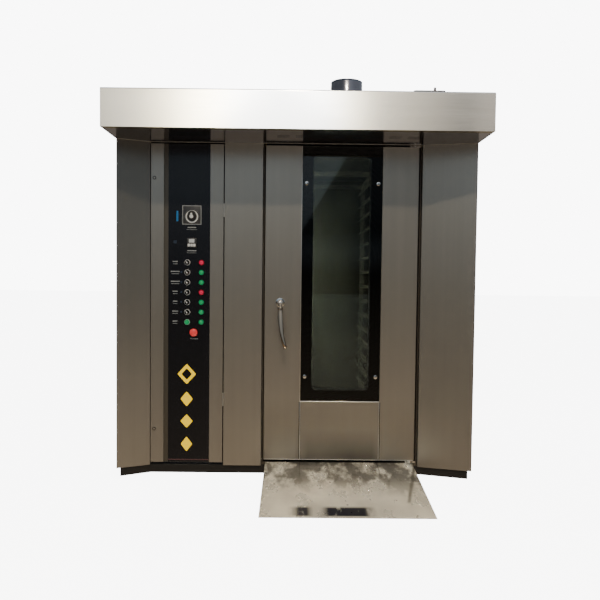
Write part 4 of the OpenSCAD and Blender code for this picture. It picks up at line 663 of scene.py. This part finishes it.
def makeDial():
    x, z, half = dial["x"], dial["z"], dial["plate"] / 2
    plate = bmesh.new()
    addBlock(plate, (x - half, 0.1, z - half), (x + half, 2, z + half), edge=0.8)
    dress(plate, "dialPlate", dialGrey, "device_bezels")
    rim = bmesh.new()
    line = half - dial["frame"]
    for low, high in (((-half, -half), (half, -line)), ((-half, line), (half, half)),
                      ((-half, -line), (-line, line)), ((line, -line), (half, line))):
        addBlock(rim, (x + low[0], -0.2, z + low[1]), (x + high[0], 0.3, z + high[1]))
    sweep, gaps = dial["sweep"], dial["marks"] - 1
    for i in range(dial["marks"]):         # scale marks round the ring, every fourth one longer
        turn = math.radians(-sweep / 2 + i * sweep / gaps)
        long = 5 if i % 4 == 0 else 3
        mark = bmesh.ops.create_cube(rim, size=1)["verts"]
        bmesh.ops.scale(rim, vec=(1.1 if i % 4 == 0 else 0.7, 0.4, long), verts=mark)
        bmesh.ops.translate(rim, vec=(0, 0.1, dial["ringR"] + 3 + long / 2), verts=mark)
        bmesh.ops.rotate(rim, cent=(0, 0, 0), matrix=Matrix.Rotation(turn, 3, "Y"), verts=mark)
        bmesh.ops.translate(rim, vec=(x, 0, dial["ringZ"]), verts=mark)
    dress(rim, "dialScale", printGrey, "device_bezels")
    ring = bmesh.new()
    addTurned(ring, [(25.5, 0.4), (25.5, -0.6), (26.3, -1), (31, -1), (32, -0.4), (32, 0.4)],
              (x, 0, dial["ringZ"]), steps=72, closed=True)
    dress(ring, "dialRing", pointerWhite, "device_bezels")
    neck = bmesh.new()
    addTurned(neck, [(4.1, 1), (11, 1), (11, 40), (4.1, 40)], (x, 0, z), closed=True)
    dress(neck, "dialNeck", finish["black_plastic"], "device_bezels")
    skirt = bmesh.new()
    addTurned(skirt, [(0, 36), (4, 36), (4, -1.3), (22, -1.3), (22, -4.5), (20.5, -6.3),
                      (18, -6.6), (17.4, -17), (15.5, -19.3), (0, -19.3)], (x, 0, z), steps=64)
    dress(skirt, "dialKnob", finish["black_plastic"], "dial_knob")
    grip = bmesh.new()                     # the pointer: a small head over a wider foot
    addTurned(grip, [(0, -18.9), (5, -18.9), (5, -21), (3.8, -22.2), (0, -22.3)], (x, 0, z + 5))
    addBlock(grip, (x - 2.6, -21.6, z - 12), (x + 2.6, -18.9, z + 1), edge=0.6)
    addTurned(grip, [(0, -18.9), (9.6, -18.9), (9.6, -20.4), (8.2, -21.4), (0, -21.5)],
              (x, 0, z - 8))
    dress(grip, "dialPointer", pointerWhite, "dial_knob")

makeDial()


# time relay: frame, display and three keys
relay = {"x": -535, "z": 1190, "half": 24, "bodyHalf": 21.9, "deep": 96, "keyStep": 13.6}

def makeRelay():
    x, z, half = relay["x"], relay["z"], relay["half"]
    shell = bmesh.new()
    addBlock(shell, (x - half, -4, z - half), (x + half, 1.95, z + half), edge=1.2)
    half = relay["bodyHalf"]
    addBlock(shell, (x - half, 1.5, z - half), (x + half, relay["deep"], z + half), edge=0.8)
    dress(shell, "relayFrame", dialGrey, "time_relay")
    screen = bmesh.new()
    addBlock(screen, (x - 14, -4.4, z + 1), (x + 14, -3.8, z + 19), edge=0.2)
    dress(screen, "relayDisplay", printWhite, "time_relay")
    keys = bmesh.new()
    for i in (-1, 0, 1):
        middle = x + i * relay["keyStep"]
        addBlock(keys, (middle - 6, -4.9, z - 19), (middle + 6, -3.8, z - 5), edge=0.5)
    dress(keys, "relayKeys", pointerWhite, "time_relay")

makeRelay()


# the two quarter-turn locks of the control door
lock = {"x": -725, "heights": (233, 1517), "r": 9.3, "top": -3.4}

def makeLocks():
    x, r, top = lock["x"], lock["r"], lock["top"]
    faces, slots = bmesh.new(), bmesh.new()
    for z in lock["heights"]:
        addTurned(faces, [(0, 5.9), (8.9, 5.9), (8.9, 0), (r, 0), (r, top + 1.2), (r - 1.2, top),
                          (5.2, top), (4.8, top + 0.6), (0, top + 0.6)], (x, 0, z), steps=40)
        addBlock(slots, (x - 0.9, top - 0.05, z - 4.2), (x + 0.9, top + 0.7, z + 4.2), edge=0.2)
    finishPiece(faces, "doorLocks", lockSteel, "control_door", "chrome")
    finishPiece(slots, "lockSlots", finish["chrome"], "control_door", "chrome")

makeLocks()


# oven door: both panes, the glass studs, the rose and the handle
door = {"studX": (48, 413), "studZ": (510, 1500), "spindle": (-81, 890), "foot": 81.5,
        "panelTop": 379, "seams": ((20.4, 24.6), (436.2, 432.8)), "seamWide": 3.4,
        "highlightWide": 2.4}

def makeDoor():
    for node, name, rim in (("door_glass_outer", "outerPane", 0.0008),
                            ("door_glass_inner", "innerPane", 0.0006)):
        roundedSheet(node, name, finish["door_glass"], fold=0, rim=rim)
    studs = bmesh.new()
    for x in door["studX"]:
        for z in door["studZ"]:
            addTurned(studs, [(0, 9), (5, 9), (5, 3), (10, 3), (10, 0.8), (9.2, -0.3),
                              (7, -0.8), (3.5, -1), (0, -1)], (x, 0, z), steps=40)
    dress(studs, "glassStuds", finish["chrome"], "door_fittings")
    highlight = bmesh.new()                      # painted highlights: bright strips along the steel's edges below and beside the glass
    addBlock(highlight, (24.5, -1.7, 379.4), (434.5, 2.8, 383.8), edge=1.9, segments=4)
    addBlock(highlight, (23.6, -0.6, 383.4), (25.8, 2.8, 1685), edge=0.6, segments=3)
    finishPiece(highlight, "glassEdgeHighlight", hubAndHighlightSteel, "oven_door", "satin_steel")
    # the lower panel: a dark joint and a painted highlight strip on each side, a painted highlight
    # strip along its foot
    seams, edges = bmesh.new(), bmesh.new()
    foot, top = door["foot"], door["panelTop"]
    for dark, bright in door["seams"]:
        addBlock(seams, (dark, -0.3, foot), (dark + door["seamWide"], 0.6, top), edge=0.2)
        addBlock(edges, (bright, -0.8, foot), (bright + door["highlightWide"], 0.6, top), edge=0.7)
    addBlock(edges, (-158, -0.8, 77.6), (614, 0.6, 80.2), edge=0.7)
    finishPiece(seams, "panelSeams", finish["panel_black"], "oven_door", "satin_steel")
    finishPiece(edges, "panelEdgeHighlights", hubAndHighlightSteel, "oven_door", "satin_steel")
    rose = bmesh.new()
    x, z = door["spindle"]
    addTurned(rose, [(7.5, 0), (7.5, -5), (18, -5), (22.5, -4.2), (24, -2.5), (24, 0)],
              (x, 0, z), steps=56, closed=True)
    dress(rose, "handleRose", finish["chrome"], "door_fittings")

makeDoor()


# lever handle: domed hub, collar, tapered lever that leans out to its tip, spindle and cam
# the line gives, as parts of the length, how far each section lies aside and down; then its
# half width and half depth in mm
lever = {"hubY": -54, "length": 218, "root": -44, "lean": 38,
         "line": ((0.0, 0.0, 10.4, 10.4), (0.003, -0.085, 10.4, 10.0), (0.004, -0.1, 13.2, 12.6),
                  (0.004, -0.125, 13.6, 13.0), (0.005, -0.15, 12.8, 12.0),
                  (0.006, -0.165, 11.0, 9.8), (0.007, -0.2, 12.6, 10.2), (0.012, -0.3, 13.2, 10.0),
                  (0.02, -0.4, 13.2, 9.6), (0.029, -0.5, 13.0, 9.2), (0.04, -0.6, 13.0, 9.0),
                  (0.054, -0.7, 13.1, 9.0), (0.07, -0.8, 13.3, 9.2), (0.087, -0.88, 13.4, 9.6),
                  (0.104, -0.94, 13.2, 9.8), (0.123, -0.99, 12.0, 9.4), (0.134, -1.022, 9.2, 7.6),
                  (0.139, -1.036, 5.8, 4.8), (0.1405, -1.041, 2.2, 2.0))}

def makeHandle():
    x, z = door["spindle"]
    points = [Vector((x + s * lever["length"], lever["root"] + lever["lean"] * h * (2 + h),
                      z + h * lever["length"])) for s, h, wide, deep in lever["line"]]
    sections = []
    for i, (s, h, wide, deep) in enumerate(lever["line"]):
        ahead = points[min(i + 1, len(points) - 1)] - points[max(i - 1, 0)]
        sections.append((points[i], ahead.normalized(), wide, deep))
    arm = bmesh.new()
    addSwept(arm, sections)
    dress(arm, "leverArm", leverSteel, "door_handle")
    hub, top = bmesh.new(), lever["hubY"]
    addTurned(hub, [(0, top), (4, top + 0.3), (8.5, top + 1.9), (12, top + 4.8),
                    (14.3, top + 8.8), (15, top + 13.5), (14.4, top + 19), (12.6, -31),
                    (12, -27), (12.2, -15), (15, -11), (15, -5.3), (7, -5.3), (7, 115),
                    (12, 116), (12, 124), (0, 124)], (x, 0, z), steps=56)
    dress(hub, "leverHub", hubAndHighlightSteel, "door_handle")
    cam = bmesh.new()
    addBlock(cam, (x - 7, 116.1, z + 2), (x + 7, 123.9, z + 31.8), edge=1.5)
    dress(cam, "latchCam", finish["chrome"], "door_handle")

makeHandle()
print("doors dressed")


# exhaust spigot with a rolled rim and a flange
spigot = {"x": 229, "y": -190, "r": 75, "wall": 2, "foot": 1875, "top": 1950, "flange": 100}

def makeSpigot():
    r, foot, top, flange = spigot["r"], spigot["foot"], spigot["top"], spigot["flange"]
    bore = r - spigot["wall"]
    tube = bmesh.new()
    addTurned(tube, [(bore, foot), (bore, top - 1), (r - 1, top), (r - 0.5, top - 0.4),
                     (r, top - 2), (r - 0.9, top - 6), (r - 0.9, top - 9), (r, top - 12),
                     (r, foot + 6), (r + 2, foot + 2.6), (flange - 1, foot + 2),
                     (flange, foot + 1), (flange, foot)],
              (spigot["x"], spigot["y"], 0), axis="Z", steps=96, closed=True)
    dress(tube, "flueSpigot", finish["sooty_steel"], "exhaust_spigot")

makeSpigot()


# what the solids already shape gets its finish alone
ownFinish = {"hood_fan_motor": fanPaint, "rack_sides": wornSteel,
             "rack_cross_tubes": wornSteel}
for node in ("turntable", "electrical_plate", "door_inner_pan"):
    ownFinish[node] = rackSteel
for node in ("chamber_liner", "chamber_ceiling", "chamber_floor", "air_supply_panel",
             "air_return_panel"):
    ownFinish[node] = chamberSteel
for node, solid in frame["nodes"].items():
    solid.data.materials.clear()
    solid.data.materials.append(ownFinish.get(node, finish[slotOf[node]]))
print("solids finished")


# studio: pale floor and backdrop, a dome of soft light that grows from a dark horizon, one key
studio = {"pale": (1.0, 1.0, 1.0), "white": 9, "floorLift": 7.5, "floorHalf": 30,
          "around": ((-0.42, (0.74, 0.56, 0.37)), (-0.16, (0.20, 0.165, 0.12)),
                     (0.0, (0.045, 0.043, 0.04)), (0.11, (0.40, 0.48, 0.55)),
                     (0.24, (0.50, 0.58, 0.65)), (0.45, (0.62, 0.66, 0.70))),
          "left": (-0.44, -0.10), "leftShare": 0.40, "right": (0.35, 0.80), "rightShare": 0.72,
          "slant": {"lean": 0.6, "from": -0.029, "soft": 0.002, "loss": 0.80,
                    "ahead": (-0.92, -0.85), "low": (0.02, 0.07), "high": (0.27, 0.34)},
          "keyPower": 300, "rampPower": 1050, "keySize": 0.24, "keyFrom": (0.0, -5.9, 6.4),
          "keyTo": (0, frontY, 1.15), "keyColour": (1.0, 0.85, 0.64),
          "chamberPower": 26, "chamberSize": (0.05, 1.2), "chamberFrom": (-0.19, -0.26, 0.98),
          "chamberTo": (0.35, 0.25, 0.98)}

# white floor: its soft shadows stay, the view sees it a little lighter than it is, and under
# the cabinet it stays dark
def floorPaint():
    shade = Shade("floorPaint")
    patch = shade.noise((2, 2, 2))
    shade.link(shade.blend(patch, (0.90, 0.90, 0.89), (0.87, 0.87, 0.86)),
               shade.shader.inputs["Base Color"])
    shade.set({"Roughness": 0.9, "Emission Color": (1, 1, 1, 1)})
    seen = shade.node("ShaderNodeLightPath").outputs["Is Camera Ray"]
    axes = shade.axes()
    under = shade.times(shade.span(shade.math("ABSOLUTE", axes["X"]), 1, 0, 0.84, 0.86),
                        shade.between(axes["Y"], (-0.38, -0.36), (0.96, 0.98)))
    lift = shade.math("MULTIPLY", seen, studio["floorLift"])
    shade.link(shade.math("MULTIPLY", lift, shade.span(under, 1, 0, 0, 1)),
               shade.shader.inputs["Emission Strength"])
    return shade.made


# an area lamp that looks from one place to another, and may light one piece alone
def addLamp(name, place, aim, energy, wide, tall=None, colour=(1, 1, 1), only=None):
    data = bpy.data.lights.new(name, "AREA")
    data.energy, data.size, data.color = energy, wide, colour
    if tall:
        data.shape, data.size_y = "RECTANGLE", tall
    lamp = bpy.data.objects.new(name, data)
    ahead = Vector(aim) - Vector(place)
    lamp.matrix_world = (Matrix.Translation(place)
                         @ ahead.to_track_quat("-Z", "Y").to_matrix().to_4x4())
    scene.collection.objects.link(lamp)
    if only:
        lit = bpy.data.collections.new(name + "Lit")
        lit.objects.link(only)
        lamp.light_linking.receiver_collection = lit
    return lamp


# a wide soft box that only the hood sees: brightest right of its middle, under a pale gable
softBox = {"place": (0, -3.5, 3.3), "aim": (0, -2.5, 3.3), "wide": 3.8, "tall": 2.4, "peak": 24,
           "stops": ((0.03, 0.046, (1.0, 0.90, 0.70)), (0.14, 0.082, (1.0, 0.90, 0.70)),
                     (0.21, 0.25, (1.0, 0.88, 0.60)), (0.30, 0.95, (1.0, 0.90, 0.66)),
                     (0.36, 0.9, (0.96, 0.98, 1.0)), (0.55, 0.80, (0.96, 0.98, 1.0)),
                     (0.62, 0.29, (1.0, 0.88, 0.60)), (0.67, 0.062, (1.0, 0.88, 0.68)),
                     (0.84, 0.024, (1.0, 0.88, 0.70)), (0.895, 0.010, (1.0, 0.88, 0.70)),
                     (0.93, 0.032, (1.0, 0.88, 0.72))),
           "gableX": -0.157, "gable": (0.35, 0.45), "gableZ": 2.475, "gableShare": 0.45}

def makeHoodLamp():
    wide, tall = softBox["wide"], softBox["tall"]
    lamp = addLamp("softBox", softBox["place"], softBox["aim"],
                   softBox["peak"] * math.pi * wide * tall, wide, tall, only=hood)
    lamp.visible_camera = False
    lamp.data.use_nodes = True
    graph = Graph(lamp.data.node_tree)
    graph.tree.nodes.clear()
    parts = graph.node("ShaderNodeSeparateXYZ")
    graph.link(graph.node("ShaderNodeNewGeometry").outputs["Position"], parts.inputs["Vector"])
    across, up = parts.outputs["X"], parts.outputs["Z"]
    share = graph.math("MULTIPLY_ADD", across, 1 / wide, 0.5)
    bands = graph.stops(share, [(place, [c * strength for c in colour])
                                for place, strength, colour in softBox["stops"]])
    aside = graph.math("ABSOLUTE", graph.math("SUBTRACT", across, softBox["gableX"]))
    rise = graph.math("SUBTRACT", up, softBox["gableZ"])
    glow = graph.node("ShaderNodeEmission")
    graph.link(bands, glow.inputs["Color"])
    graph.link(graph.span(graph.math("ADD", aside, rise), softBox["gableShare"], 1,
                          *softBox["gable"], curve="SMOOTHSTEP"), glow.inputs["Strength"])
    graph.link(glow.outputs[0], graph.node("ShaderNodeOutputLight").inputs["Surface"])


def makeWorld():
    scene.world = bpy.data.worlds.new("studio")
    scene.world.use_nodes = True
    graph = Graph(scene.world.node_tree)
    graph.tree.nodes.clear()
    axes = graph.axes("Generated")
    across, deep, up = axes["X"], axes["Y"], axes["Z"]
    def smooth(value, low, high, places):
        return graph.span(value, low, high, *places, curve="SMOOTHSTEP")
    around = graph.stops(graph.math("MULTIPLY_ADD", up, 0.5, 0.5),
                         [(height / 2 + 0.5, colour) for height, colour in studio["around"]])
    sides = graph.math("MULTIPLY", smooth(across, studio["leftShare"], 1, studio["left"]),
                       smooth(across, 1, studio["rightShare"], studio["right"]))
    # ahead and above the horizon, the right part is darker, past a slanting edge
    slant = studio["slant"]
    past = graph.math("SUBTRACT", across, graph.math("MULTIPLY", up, slant["lean"]))
    dark = smooth(past, 0, 1, (slant["from"] - slant["soft"], slant["from"] + slant["soft"]))
    for edge in (smooth(deep, 1, 0, slant["ahead"]), smooth(up, 0, 1, slant["low"]),
                 smooth(up, 1, 0, slant["high"])):
        dark = graph.math("MULTIPLY", dark, edge)
    left = graph.math("SUBTRACT", 1.0, graph.math("MULTIPLY", dark, slant["loss"]))
    dimmed = graph.node("ShaderNodeMix", data_type="RGBA", blend_type="MULTIPLY")
    dimmed.inputs[0].default_value = 1
    graph.link(around, dimmed.inputs[6])
    graph.link(graph.math("MULTIPLY", sides, left), dimmed.inputs[7])
    light = graph.node("ShaderNodeBackground")
    graph.link(dimmed.outputs[2], light.inputs["Color"])
    pale = graph.node("ShaderNodeBackground")          # what the view itself sees
    pale.inputs["Color"].default_value = studio["pale"] + (1,)
    pale.inputs["Strength"].default_value = studio["white"]
    either = graph.node("ShaderNodeMixShader")
    seen = graph.node("ShaderNodeLightPath").outputs["Is Camera Ray"]
    for source, target in zip((seen, light.outputs[0], pale.outputs[0]), either.inputs):
        graph.link(source, target)
    graph.link(either.outputs[0], graph.node("ShaderNodeOutputWorld").inputs["Surface"])


def makeStudio():
    makeWorld()
    for name, power, only in (("key", "keyPower", None), ("rampKey", "rampPower", entryRamp)):
        addLamp(name, studio["keyFrom"], studio["keyTo"], studio[power], studio["keySize"],
                colour=studio["keyColour"], only=only)
    makeHoodLamp()
    # a weak lamp inside the chamber, beside the doorway
    addLamp("chamberLamp", studio["chamberFrom"], studio["chamberTo"], studio["chamberPower"],
            *studio["chamberSize"])
    sheet = bmesh.new()
    bmesh.ops.create_grid(sheet, x_segments=8, y_segments=8, size=studio["floorHalf"])
    mesh = bpy.data.meshes.new("floor")
    sheet.to_mesh(mesh)
    sheet.free()
    floor = bpy.data.objects.new("floor", mesh)
    floor.data.materials.append(floorPaint())
    floor.visible_glossy = False
    scene.collection.objects.link(floor)

makeStudio()
